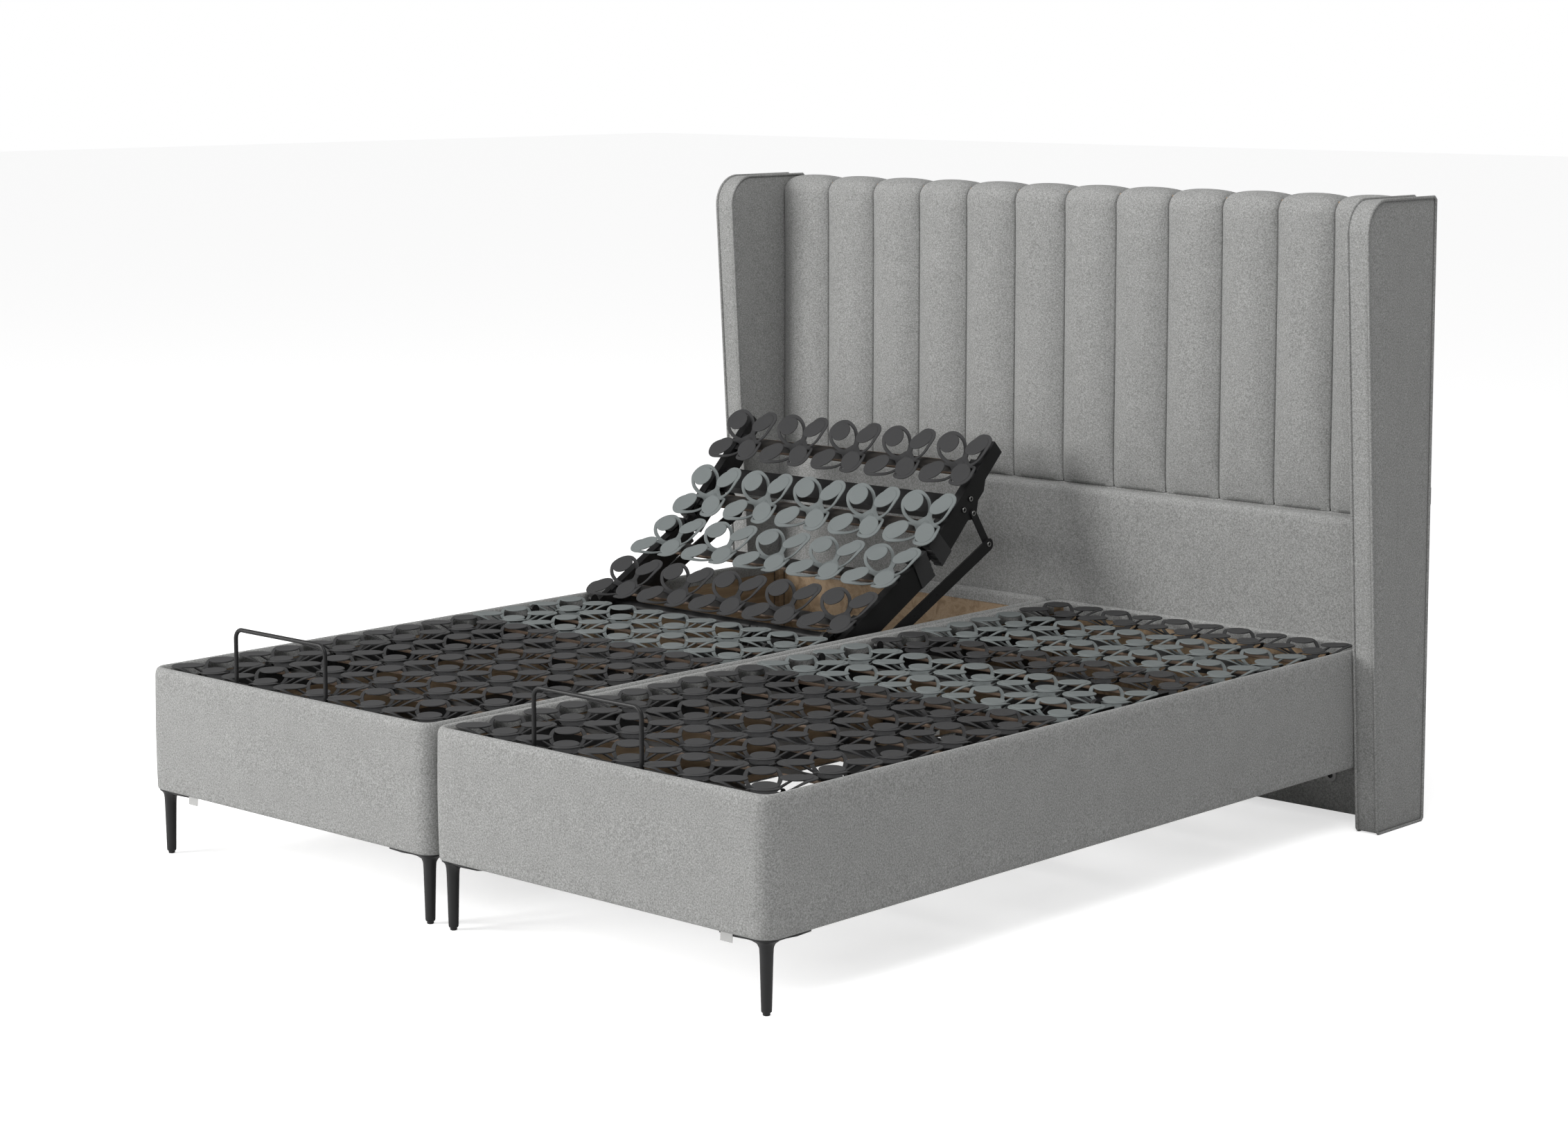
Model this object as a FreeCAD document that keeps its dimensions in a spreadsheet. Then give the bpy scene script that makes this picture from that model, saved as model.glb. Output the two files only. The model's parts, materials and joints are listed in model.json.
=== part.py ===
import FreeCAD, Part
import Sketcher
import math
import os

# Twin adjustable bed base with a wing-back headboard.
# Frame: X across the bed, Y towards the headboard, Z up, origin on the floor at the centre of the
# footprint. All sizes are millimetres and degrees.

os.makedirs("parts", exist_ok=True)
doc = FreeCAD.newDocument("adjustable_bed")
sheet = doc.addObject("Spreadsheet::Sheet", "Sheet")

DRIVING_SIZES = {
    # whole bed
    "foot_face": -1059.5,          # outer face of the foot end
    # upholstered boxes
    "box_width": 900, "box_length": 2000, "box_centre": 454.4, "box_bottom": 143.7, "box_top": 409,
    "box_corner": 38, "cover_wall": 6, "board_thickness": 14, "board_top": 401, "rim_round": 11,
    # steel base frame under the mattress platform
    "tube_low": 178, "tube_high": 30, "side_tube_inner": 388, "side_tube_outer": 419.6,
    "cross_tube_width": 40,
    # platform sections
    "hinge_height": 404, "rail_inner": 378.4, "rail_outer": 400.4, "rail_top": 383.5, "rail_depth": 63.5,
    "back_hinge": 1256, "neck_hinge": 1623, "thigh_hinge": 1062, "knee_hinge": 725,
    "knee_height": 350, "neck_height": 380, "rail_wall": 2, "torque_radius": 14,
    "left_back_angle": 29, "right_back_angle": 0, "neck_ratio": 0.531,
    # slats and spring modules
    "slat_top": 376, "slat_thickness": 8, "slat_width": 40, "slat_half": 366,
    "module_pitch": 172, "module_height": 35.6, "petal_reach": 61, "petal_length": 65,
    "petal_width": 52, "petal_thickness": 3, "loop_length": 92, "loop_width": 75, "loop_band": 6.5,
    "loop_thickness": 3, "hub_radius": 15, "hub_height": 9,
    # hinge lugs
    "lug_thickness": 4, "lug_gap": 0.4, "lug_radius": 12, "pivot_radius": 5, "pivot_clearance": 0.05,
    # neck linkage
    "arm_pivot": 1340.3, "arm_pivot_height": 326.3, "arm_length": 515.2, "arm_width": 30,
    "arm_flat_angle": -9.12, "arm_ratio": 1.23, "link_pin_along": 167, "link_pin_height": -57.7,
    "link_length": 95.9, "link_width": 20, "link_flat_angle": -52.48, "link_ratio": -1.67,
    "link_bolt_radius": 4, "link_play": 2.4, "link_thickness": 3.6, "arm_thickness": 4.6,
    # actuators
    "crank_radius": 118, "back_crank_angle": 25, "thigh_crank_angle": 20, "crank_pin_radius": 6,
    "actuator_offset": 90, "back_rod_gain": 115.1, "rod_radius": 10, "tube_radius": 17,
    # legs and headboard
    "leg_inset": 30, "leg_top_radius": 12, "leg_foot_radius": 10, "glide_height": 6,
    "plate_thickness": 4, "plate_reach": 150,
    "head_height": 1400, "head_back": 2105, "wing_inner": 906.5, "wing_outer": 965,
    "wing_front": 1918, "wing_slope": 0.0644, "wing_corner": 70, "wing_bottom": 3,
    "panel_front": 2000, "panel_bottom": 12, "core_front": 2040, "core_half": 905.6,
    "seam_height": 687, "channel_count": 12, "channel_front": 2003, "channel_top": 1403,
}
ROWS_FROM_FOOT = [1880.1, 1697.8, 1520.3, 1346.4, 1152, 971.8, 812, 637.5, 461.2, 286.8, 106]

for number, (alias, value) in enumerate(DRIVING_SIZES.items(), start=1):
    sheet.set(f"A{number}", alias)
    sheet.set(f"B{number}", str(value))
    sheet.setAlias(f"B{number}", alias)
for number, distance in enumerate(ROWS_FROM_FOOT, start=1):
    sheet.set(f"D{number}", f"row_{number}")
    sheet.set(f"E{number}", str(distance))
    sheet.setAlias(f"E{number}", f"row_{number}")
doc.recompute()

SIDES = {"left": -1, "right": 1}


def size(alias):
    return float(sheet.get(alias))


def bind(item, prop, value):
    """Bind a property to an expression of sheet aliases, or set a plain number."""
    if isinstance(value, str):
        for alias in sorted(list(DRIVING_SIZES) + row_aliases(), key=len, reverse=True):
            value = replace_word(value, alias)
        item.setExpression(prop, value)
    else:
        item.setExpression(prop, str(value))


def row_aliases():
    return [f"row_{number}" for number in range(1, len(ROWS_FROM_FOOT) + 1)]


def replace_word(text, alias):
    """Prefix every whole-word use of an alias with the sheet's name."""
    out, word = "", ""
    for letter in text + " ":
        if letter.isalnum() or letter in "_.":
            word += letter
        else:
            out += ("Sheet." + word if word == alias else word) + letter
            word = ""
    return out[:-1]


def place(item, x=0, y=0, z=0):
    bind(item, "Placement.Base.x", x)
    bind(item, "Placement.Base.y", y)
    bind(item, "Placement.Base.z", z)
    return item


def cuboid(name, low, high):
    """Box between two corners, each coordinate a number or an expression."""
    item = doc.addObject("Part::Box", name)
    for prop, a, b in zip(("Length", "Width", "Height"), low, high):
        bind(item, prop, f"({b}) - ({a})")
    return place(item, *low)


def turn_axis(item, axis):
    turns = {"x": ((0, 1, 0), 90), "y": ((1, 0, 0), -90), "z": ((0, 0, 1), 0)}
    direction, angle = turns[axis]
    item.Placement.Rotation = FreeCAD.Rotation(FreeCAD.Vector(*direction), angle)
    return item


def rod(name, start, radius, length, axis="z"):
    """Cylinder from a start point along +X, +Y or +Z."""
    item = turn_axis(doc.addObject("Part::Cylinder", name), axis)
    bind(item, "Radius", radius)
    bind(item, "Height", length)
    return place(item, *start)


def join(name, *items):
    item = doc.addObject("Part::MultiFuse", name)
    item.Shapes = list(items)
    return item


def cut(name, base, tool):
    item = doc.addObject("Part::Cut", name)
    item.Base, item.Tool = base, tool
    return item


def mirrored(name, source):
    """Mirror image of a piece across the base's centre plane."""
    item = doc.addObject("Part::Mirroring", name)
    item.Source = source
    item.Normal = FreeCAD.Vector(1, 0, 0)
    return item


def pair(piece):
    return [piece, mirrored(piece.Name + "_mirror", piece)]


def shape_piece(name, shape):
    item = doc.addObject("Part::Feature", name)
    item.Shape = shape
    return item


def outline(points, axis, start, depth):
    """Solid made by pushing a closed outline along an axis. Points are the other two coordinates."""
    order = {"x": lambda a, b: (start, a, b), "z": lambda a, b: (a, b, start)}[axis]
    corners = [FreeCAD.Vector(*order(a, b)) for a, b in points]
    face = Part.Face(Part.makePolygon(corners + corners[:1]))
    push = FreeCAD.Vector(depth, 0, 0) if axis == "x" else FreeCAD.Vector(0, 0, depth)
    return face.extrude(push)


NODES = []


def node(label, *pieces):
    """One named sub-part: a group of the separate solids given."""
    item = doc.addObject("Part::Compound", label)
    item.Links = list(pieces)
    item.Label = label
    NODES.append(item)
    return item


def place_node(item, x, y, z, angle=0):
    """Put a node modelled about its hinge line at the hinge, turned about X."""
    item.Placement.Rotation = FreeCAD.Rotation(FreeCAD.Vector(1, 0, 0), 1)
    place(item, x, y, z)
    bind(item, "Placement.Rotation.Angle", angle)
    return item


# ---------------------------------------------------------------- spring module

def ellipse_plate(length, width, thickness):
    """Flat elliptical plate, long axis along X, standing on z = 0."""
    curve = Part.Ellipse(FreeCAD.Vector(0, 0, 0), length / 2, width / 2)
    return Part.Face(Part.Wire(curve.toShape())).extrude(FreeCAD.Vector(0, 0, thickness))


def petal_shape():
    """One petal: an elliptical paddle held at its outer rim by a sloping loop from the hub."""
    rise = size("module_height") - size("petal_thickness") - size("hub_height") / 2
    slope = math.degrees(math.asin(rise / size("loop_length")))
    paddle = ellipse_plate(size("petal_length"), size("petal_width"), size("petal_thickness"))
    paddle.translate(FreeCAD.Vector(size("petal_reach"), 0, size("module_height") - size("petal_thickness")))
    band = 2 * size("loop_band")
    outer = ellipse_plate(size("loop_length"), size("loop_width"), size("loop_thickness"))
    inner = ellipse_plate(size("loop_length") - band, size("loop_width") - band, size("loop_thickness"))
    loop = outer.cut(inner)
    loop.translate(FreeCAD.Vector(size("loop_length") / 2, 0, 0))
    loop.rotate(FreeCAD.Vector(0, 0, 0), FreeCAD.Vector(0, 1, 0), -slope)
    loop.translate(FreeCAD.Vector(size("hub_radius") / 2, 0, size("hub_height") / 2))
    return paddle.fuse(loop)


def module_shape():
    """Hub on the slat with four petals on the diagonals."""
    hub = Part.makeCylinder(size("hub_radius"), size("hub_height"))
    petals = []
    for quarter in range(4):
        petal = petal_shape()
        petal.rotate(FreeCAD.Vector(0, 0, 0), FreeCAD.Vector(0, 0, 1), 45 + 90 * quarter)
        petals.append(petal)
    return hub.fuse(petals).Solids[0]


MODULE = module_shape()
MODULES_PER_ROW = 5


def modules(name, rows, hinge, hinge_height="hinge_height"):
    """Spring modules of some rows, measured from a hinge line."""
    copies = []
    for row in rows:
        for column in range(MODULES_PER_ROW):
            copy = MODULE.copy()
            across = (column - (MODULES_PER_ROW - 1) / 2) * size("module_pitch")
            along = size(f"row_{row}") - hinge_position(hinge)
            copy.translate(FreeCAD.Vector(across, along, size("slat_top") - size(hinge_height)))
            copies.append(copy)
    return shape_piece(name, Part.makeCompound(copies))


def hinge_position(hinge):
    return size(hinge) if isinstance(hinge, str) else hinge


# ---------------------------------------------------------------- platform pieces

def slats(name, rows, hinge, hinge_height="hinge_height"):
    """One sprung slat per row, measured from a hinge line."""
    made = []
    for row in rows:
        middle = f"row_{row} - {hinge}"
        top = f"slat_top - {hinge_height}"
        made.append(cuboid(
            f"{name}_{row}",
            ("-slat_half", f"{middle} - slat_width / 2", f"{top} - slat_thickness"),
            ("slat_half", f"{middle} + slat_width / 2", top)))
    return made


def slat_holders(name, rows, hinge, hinge_height="hinge_height"):
    """Plastic pockets on the inner faces of the rails that take the slat ends."""
    made = []
    for row in rows:
        middle = f"row_{row} - {hinge}"
        top = f"slat_top - {hinge_height}"
        block = cuboid(f"{name}_{row}",
                       ("slat_half - 6", f"{middle} - slat_width / 2 - 5", f"{top} - slat_thickness - 5"),
                       ("rail_inner", f"{middle} + slat_width / 2 + 5", f"{top} + 3"))
        pocket = cuboid(f"{name}_{row}_pocket",
                        ("slat_half - 7", f"{middle} - slat_width / 2", f"{top} - slat_thickness"),
                        ("slat_half", f"{middle} + slat_width / 2", top))
        made += pair(cut(f"{name}_{row}_holder", block, pocket))
    return made


def rail_pair(name, near, far, hinge_height="hinge_height"):
    """Two side rails of rectangular tube, closed at their ends by plugs."""
    low = ("rail_inner", near, f"rail_top - rail_depth - {hinge_height}")
    high = ("rail_outer", far, f"rail_top - {hinge_height}")
    bar = cuboid(f"{name}_outer", low, high)
    hollow = cuboid(f"{name}_hollow",
                    tuple(f"{value} + rail_wall" for value in low),
                    tuple(f"{value} - rail_wall" for value in high))
    return pair(cut(name, bar, hollow))


def lug_plates(name, inner_face, outer_face, reach, drop):
    """Plate of a lug below the springs, and the stem that carries its eye at the hinge line."""
    made = []
    for part, end, height in (("plate", reach, -drop / 4), ("stem", math.copysign(size("lug_radius"), reach), 0)):
        ends, heights = sorted((0, end)), sorted((height, -drop))
        made.append(cuboid(f"{name}_{part}", (inner_face, ends[0], heights[0]), (outer_face, ends[1], heights[1])))
    return made


def outer_lugs(name, direction, reach=58, drop=44):
    """Hinge lugs against the rails' inner faces, each with its pivot stud. Origin at the hinge line."""
    inner_face = "rail_inner - lug_thickness"
    plates = lug_plates(name, inner_face, "rail_inner", direction * reach, drop)
    eye = rod(f"{name}_eye", (inner_face, 0, 0), "lug_radius", "lug_thickness", "x")
    stud = rod(f"{name}_stud", (f"{inner_face} - 6", 0, 0), "pivot_radius", "lug_thickness + 8", "x")
    return pair(join(name, *plates, eye, stud))


def inner_lugs(name, direction, reach=58, drop=44, clear=24):
    """Hinge lugs beside the outer ones, bored for the stud, with a spacer out to the rail."""
    outer_face = "rail_inner - lug_thickness - lug_gap"
    inner_face = f"{outer_face} - lug_thickness"
    plates = lug_plates(name, inner_face, outer_face, direction * reach, drop)
    spacer_ends, spacer_heights = sorted((direction * clear, direction * reach)), sorted((-drop, -drop / 3))
    eye = rod(f"{name}_eye", (inner_face, 0, 0), "lug_radius", "lug_thickness", "x")
    spacer = cuboid(f"{name}_spacer", (outer_face, spacer_ends[0], spacer_heights[0]),
                    ("rail_inner", spacer_ends[1], spacer_heights[1]))
    bore = rod(f"{name}_bore", (f"{inner_face} - 1", 0, 0), "pivot_radius + pivot_clearance",
               "lug_thickness + 2", "x")
    return pair(cut(name, join(f"{name}_body", *plates, eye, spacer), bore))


def moved(items, y, z, prefix):
    """Copies of lug pieces shifted from their own hinge line to another origin."""
    shifted = []
    for index, item in enumerate(items):
        holder = doc.addObject("Part::Compound", f"{prefix}_{index}")
        holder.Links = [item]
        place(holder, 0, y, z)
        shifted.append(holder)
    return shifted


def cross_tube(name, y, z):
    return rod(name, ("-rail_inner", y, z), "torque_radius", "2 * rail_inner", "x")


def crank(name, offset, tube_y, tube_z, pin_y, pin_z):
    """Two plates welded to a torque tube that carry the actuator's pin between them."""
    half_gap, plate, radius = 9, 5, size("torque_radius")
    middle = size("actuator_offset") * offset
    solids = []
    for sign in (-1, 1):
        start = middle + sign * half_gap - (plate if sign < 0 else 0)
        direction = FreeCAD.Vector(0, pin_y - tube_y, pin_z - tube_z)
        side = FreeCAD.Vector(0, -direction.z, direction.y).normalize() * radius
        root, tip = FreeCAD.Vector(start, tube_y, tube_z), FreeCAD.Vector(start, pin_y, pin_z)
        corners = [root + side, tip + side, tip - side, root - side]
        web = Part.Face(Part.makePolygon(corners + corners[:1])).extrude(FreeCAD.Vector(plate, 0, 0))
        eye = Part.makeCylinder(radius, plate, tip, FreeCAD.Vector(1, 0, 0))
        hole = Part.makeCylinder(radius, plate + 2, root - FreeCAD.Vector(1, 0, 0), FreeCAD.Vector(1, 0, 0))
        solids.append(web.fuse(eye).cut(hole))
    pin = Part.makeCylinder(size("crank_pin_radius"), 2 * (half_gap + plate),
                            FreeCAD.Vector(middle - half_gap - plate, pin_y, pin_z), FreeCAD.Vector(1, 0, 0))
    return shape_piece(name, solids[0].fuse([solids[1], pin]))


# ---------------------------------------------------------------- the four moving sections

ALONG_NECK = "neck_hinge - back_hinge"
NECK_DROP = "neck_height - hinge_height"
TUBE_DROP = -60
torque_tube_back = cross_tube("back_torque_tube", -TUBE_DROP, TUBE_DROP)
back_pin = (-size("crank_radius") * math.sin(math.radians(size("back_crank_angle"))),
            -size("crank_radius") * math.cos(math.radians(size("back_crank_angle"))))
back_frame = (
    rail_pair("back_rail", 16, f"{ALONG_NECK} - 40")
    + inner_lugs("back_hinge_lug", 1)
    + moved(outer_lugs("neck_hinge_lug", -1), ALONG_NECK, NECK_DROP, "neck_hinge_lug_at")
    + slat_holders("back_holder", (4, 3), "back_hinge")
    + [torque_tube_back, crank("back_crank", 1, -TUBE_DROP, TUBE_DROP, *back_pin)])
back_slats = slats("back_slat", (4, 3), "back_hinge")
back_modules = [modules("back_module_group", (4, 3), "back_hinge")]


BLOCK_LOW, BLOCK_HIGH = 320, 391.5


def hinge_block(name, near, far, teeth_side, hinge_height):
    """Plastic cap that wraps the end of a rail beside the neck hinge, with ribs towards the hinge."""
    low_z, high_z = BLOCK_LOW - hinge_height, BLOCK_HIGH - hinge_height
    body = Part.makeBox(25, far - near, high_z - low_z, FreeCAD.Vector(size("rail_inner"), near, low_z))
    seat = Part.makeBox(22.2, far - near, size("rail_depth") + 4.2, FreeCAD.Vector(size("rail_inner") - 0.1, near, low_z))
    seat.translate(FreeCAD.Vector(0, -20 if teeth_side > 0 else 20, -0.1))
    block = body.cut(seat)
    for rib in range(4):
        groove_y = (far if teeth_side > 0 else near) - 1.5 - (0 if teeth_side > 0 else 1)
        groove = Part.makeBox(30, 4, 5, FreeCAD.Vector(size("rail_inner") - 4, groove_y, low_z + 8 + 16 * rib))
        block = block.cut(groove)
    solid = max(block.Solids, key=lambda piece: piece.Volume)
    return pair(shape_piece(name, solid))


lower_block = hinge_block("lower_hinge_block", size("neck_hinge") - size("back_hinge") - 60,
                          size("neck_hinge") - size("back_hinge") - 8, 1, size("hinge_height"))
upper_block = hinge_block("upper_hinge_block", 8, 55, -1, size("neck_height"))


def neck_rail_shape():
    """Tapered hollow rail whose lower edge swells around the link's pin."""
    pin_y, pin_z = size("link_pin_along"), size("link_pin_height")
    points = [(34, 3.5), (340, 1), (340, -38), (254, -38), (231, -53), (202, -53), (pin_y + 14, pin_z - 10),
              (pin_y + 4, pin_z - 13), (pin_y - 12, pin_z - 10), (145, -58), (34, -59)]
    inner = [(40, 1.4), (338, -1), (338, -36), (60, -46), (40, -46)]
    width, wall = size("rail_outer") - size("rail_inner"), size("rail_wall")
    body = outline(points, "x", size("rail_inner"), width)
    hollow = outline(inner, "x", size("rail_inner") + wall, width - 2 * wall)
    pin = Part.makeCylinder(size("link_bolt_radius"), 6, FreeCAD.Vector(size("rail_outer") - 1, pin_y, pin_z),
                            FreeCAD.Vector(1, 0, 0))
    return body.cut(hollow).fuse(pin)


NECK_BOLTS = [(185, -26), (150.7, -26)]


def neck_bolt(name, y, z):
    head = rod(f"{name}_head", ("rail_outer", y, z), 6, 2.5, "x")
    return pair(head)


neck_cross = cuboid("neck_cross_member", ("-rail_inner", 124, -38), ("rail_inner", 182, -14))
neck_frame = (
    pair(shape_piece("neck_rail", neck_rail_shape()))
    + inner_lugs("neck_rail_lug", 1, reach=42)
    + slat_holders("neck_holder", (2, 1), "neck_hinge", "neck_height")
    + [neck_cross]
    + neck_bolt("neck_bolt_a", *NECK_BOLTS[0]) + neck_bolt("neck_bolt_b", *NECK_BOLTS[1]))
neck_slats = slats("neck_slat", (2, 1), "neck_hinge", "neck_height")
neck_modules = [modules("neck_module_group", (2, 1), "neck_hinge", "neck_height")]

ALONG_KNEE = "knee_hinge - thigh_hinge"
KNEE_DROP = "knee_height - hinge_height"
thigh_pin = (size("crank_radius") * math.sin(math.radians(size("thigh_crank_angle"))),
             -size("crank_radius") * math.cos(math.radians(size("thigh_crank_angle"))))
knee_studs = moved(outer_lugs("knee_stud_lug", 1, reach=45, drop=-20), ALONG_KNEE, KNEE_DROP, "knee_stud_at")
thigh_frame = (
    rail_pair("thigh_rail", f"{ALONG_KNEE} + 22", -16)
    + inner_lugs("thigh_hinge_lug", -1)
    + knee_studs
    + slat_holders("thigh_holder", (6, 7), "thigh_hinge")
    + [cross_tube("thigh_torque_tube", TUBE_DROP, TUBE_DROP),
       crank("thigh_crank", -1, TUBE_DROP, TUBE_DROP, *thigh_pin)])
thigh_slats = slats("thigh_slat", (6, 7), "thigh_hinge")
thigh_modules = [modules("thigh_module_group", (6, 7), "thigh_hinge")]

CALF_END = "52 - knee_hinge"
calf_frame = (
    rail_pair("calf_rail", CALF_END, -22, "knee_height")
    + inner_lugs("knee_bored_lug", -1, reach=45, drop=-20)
    + slat_holders("calf_holder", (8, 9, 10, 11), "knee_hinge", "knee_height")
    + [cross_tube("calf_cross_tube", -130, -12), cross_tube("calf_foot_tube", "66 - knee_hinge", -10)]
    + [cuboid(f"retainer_socket_{index}", (across - 8, "58 - knee_hinge", 3),
              (across + 8, "74 - knee_hinge", 30)) for index, across in enumerate((-186, 104))])
calf_slats = slats("calf_slat", (8, 9, 10, 11), "knee_hinge", "knee_height")
calf_modules = [modules("calf_module_group", (8, 9, 10, 11), "knee_hinge", "knee_height")]
calf_glides = pair(cuboid("calf_glide", ("rail_inner + 1", "60 - knee_hinge", "312 - knee_height"),
                          ("rail_outer - 1", "110 - knee_hinge", "rail_top - rail_depth - knee_height")))


def retainer_shape():
    """Round wire hoop that stops the mattress sliding off the foot, with feet bent back to the frame."""
    wire, offset, half, top, foot, bend, stand = 4.5, -41, 145, 518, 385, 20, 32.2
    depth, knee = size("knee_hinge"), size("knee_height")
    corners = [(offset - half, 66, foot), (offset - half, stand, foot), (offset - half, stand, top),
               (offset + half, stand, top), (offset + half, stand, foot), (offset + half, 66, foot)]
    points = [FreeCAD.Vector(x, y - depth, z - knee) for x, y, z in corners]
    edges, start = [], points[0]
    for before, corner, after in zip(points, points[1:], points[2:]):
        radius = min(bend, 0.45 * min((corner - before).Length, (after - corner).Length))
        entry = corner + (before - corner).normalize() * radius
        leave = corner + (after - corner).normalize() * radius
        middle = corner + ((entry - corner) + (leave - corner)) * (1 - 1 / math.sqrt(2))
        edges += [Part.makeLine(start, entry), Part.Arc(entry, middle, leave).toShape()]
        start = leave
    edges.append(Part.makeLine(start, points[-1]))
    path = Part.Wire(edges)
    section = Part.Wire(Part.makeCircle(wire, points[0], points[1] - points[0]))
    return path.makePipeShell([section], True, False)


retainer = [shape_piece("retainer_hoop", retainer_shape())]


# ---------------------------------------------------------------- neck linkage

def bar_shape(length, width, thickness, start, hole_near, hole_far):
    """Flat bar along +Y from its pivot, rounded at both ends and bored at both."""
    along_x = FreeCAD.Vector(1, 0, 0)
    near, far = FreeCAD.Vector(start, 0, 0), FreeCAD.Vector(start, length, 0)
    body = Part.makeBox(thickness, length, width, FreeCAD.Vector(start, 0, -width / 2))
    body = body.fuse([Part.makeCylinder(width / 2, thickness, near, along_x),
                      Part.makeCylinder(width / 2, thickness, far, along_x)])
    for centre, radius in ((near, hole_near), (far, hole_far)):
        if radius:
            body = body.cut(Part.makeCylinder(radius, thickness, centre, along_x))
    return body


link_start = size("rail_outer") + 0.4
arm_start = link_start + size("link_thickness") + 0.4
bolt_fit = size("link_bolt_radius") + size("pivot_clearance")
ADJUSTING_HOLES, HOLE_RADIUS = (209, 239, 269, 299), 2.5


def arm_shape():
    """Arm with a stud for the link at its far end and a row of adjusting holes."""
    body = bar_shape(size("arm_length"), size("arm_width"), size("arm_thickness"), arm_start, bolt_fit, 0)
    for distance in ADJUSTING_HOLES:
        body = body.cut(Part.makeCylinder(HOLE_RADIUS, size("arm_thickness"),
                                          FreeCAD.Vector(arm_start, distance, 0), FreeCAD.Vector(1, 0, 0)))
    stud_start = FreeCAD.Vector(link_start, size("arm_length"), 0)
    stud = Part.makeCylinder(size("link_bolt_radius"), arm_start - link_start + 1, stud_start,
                             FreeCAD.Vector(1, 0, 0))
    return body.fuse(stud)


neck_arms = pair(shape_piece("neck_arm", arm_shape()))
neck_links = pair(shape_piece("neck_link", bar_shape(
    size("link_length"), size("link_width"), size("link_thickness"), link_start, bolt_fit,
    size("link_bolt_radius") + size("link_play"))))


# ---------------------------------------------------------------- actuator rods

def rod_shape(direction, along, pin_height, span):
    """Push rod with a slotted head that straddles the crank's pin. Origin at the hinge line."""
    middle = size("actuator_offset") * direction
    slot_half, pin = 0.7 + size("crank_pin_radius"), size("crank_pin_radius")
    low, high = pin_height - 7 - pin - 1, pin_height + 7 + pin + 1
    head = Part.makeBox(14, 34, high - low + 16, FreeCAD.Vector(middle - 7, along - 17, low - 8))
    slot = Part.makeBox(16, 2 * slot_half, high - low, FreeCAD.Vector(middle - 8, along - slot_half, low))
    start = FreeCAD.Vector(middle, along - direction * 16, pin_height)
    shaft = Part.makeCylinder(size("rod_radius"), span, start, FreeCAD.Vector(0, -direction, 0))
    return head.cut(slot).fuse(shaft)


def turned(angle):
    return math.radians(angle)


def back_rod_along(angle):
    """Where the rod's head stands for a back section raised by an angle."""
    return size("back_rod_gain") * turned(angle - size("back_crank_angle"))


BACK_PIN_HEIGHT, THIGH_PIN_HEIGHT = -112.5, -114.5
THIGH_PIN_ALONG = size("crank_radius") * math.sin(math.radians(size("thigh_crank_angle")))
ROD_SPAN = 190


# ---------------------------------------------------------------- nodes of both bases

def section_node(side, name, pieces, hinge_y, hinge_z, angle=0):
    centre = f"{SIDES[side]} * box_centre"
    return place_node(node(f"{side}_{name}", *pieces), centre, hinge_y, hinge_z, angle)


for side in SIDES:
    back_angle = f"{side}_back_angle"
    neck_angle = f"{back_angle} * (1 + neck_ratio)"
    back_at = ("foot_face + back_hinge", "hinge_height", back_angle)
    run, rise = f"({ALONG_NECK})", f"({NECK_DROP})"
    neck_at = (f"foot_face + back_hinge + {run} * cos({back_angle} * 1 deg) - {rise} * sin({back_angle} * 1 deg)",
               f"hinge_height + {run} * sin({back_angle} * 1 deg) + {rise} * cos({back_angle} * 1 deg)",
               neck_angle)
    section_node(side, "back_frame", back_frame, *back_at)
    section_node(side, "back_slats", back_slats, *back_at)
    section_node(side, "back_modules", back_modules, *back_at)
    section_node(side, "lower_hinge_blocks", lower_block, *back_at)
    section_node(side, "neck_frame", neck_frame, *neck_at)
    section_node(side, "neck_slats", neck_slats, *neck_at)
    section_node(side, "neck_modules", neck_modules, *neck_at)
    section_node(side, "upper_hinge_blocks", upper_block, *neck_at)

    pin_run = "link_pin_along"
    pin_at = (f"{neck_at[0]} + {pin_run} * cos({neck_angle} * 1 deg) - link_pin_height * sin({neck_angle} * 1 deg)",
              f"{neck_at[1]} + {pin_run} * sin({neck_angle} * 1 deg) + link_pin_height * cos({neck_angle} * 1 deg)",
              f"link_flat_angle + {neck_angle} + link_ratio * {back_angle}")
    section_node(side, "neck_links", neck_links, *pin_at)
    section_node(side, "neck_arms", neck_arms, "foot_face + arm_pivot", "arm_pivot_height",
                 f"arm_flat_angle + arm_ratio * {back_angle}")

    thigh_at = ("foot_face + thigh_hinge", "hinge_height")
    section_node(side, "thigh_frame", thigh_frame, *thigh_at)
    section_node(side, "thigh_slats", thigh_slats, *thigh_at)
    section_node(side, "thigh_modules", thigh_modules, *thigh_at)
    calf_at = ("foot_face + knee_hinge", "knee_height")
    section_node(side, "calf_frame", calf_frame, *calf_at)
    section_node(side, "calf_slats", calf_slats, *calf_at)
    section_node(side, "calf_modules", calf_modules, *calf_at)
    section_node(side, "calf_glides", calf_glides, *calf_at)
    section_node(side, "mattress_retainer", retainer, *calf_at)

    back_rod = shape_piece(f"{side}_back_rod_solid",
                           rod_shape(1, back_rod_along(size(back_angle)), BACK_PIN_HEIGHT, ROD_SPAN))
    section_node(side, "back_rod", [back_rod], "foot_face + back_hinge", "hinge_height")
    leg_rod = shape_piece(f"{side}_leg_rod_solid", rod_shape(-1, THIGH_PIN_ALONG, THIGH_PIN_HEIGHT, ROD_SPAN))
    section_node(side, "leg_rod", [leg_rod], "foot_face + thigh_hinge", "hinge_height")


# ---------------------------------------------------------------- fixed parts of each base

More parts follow.
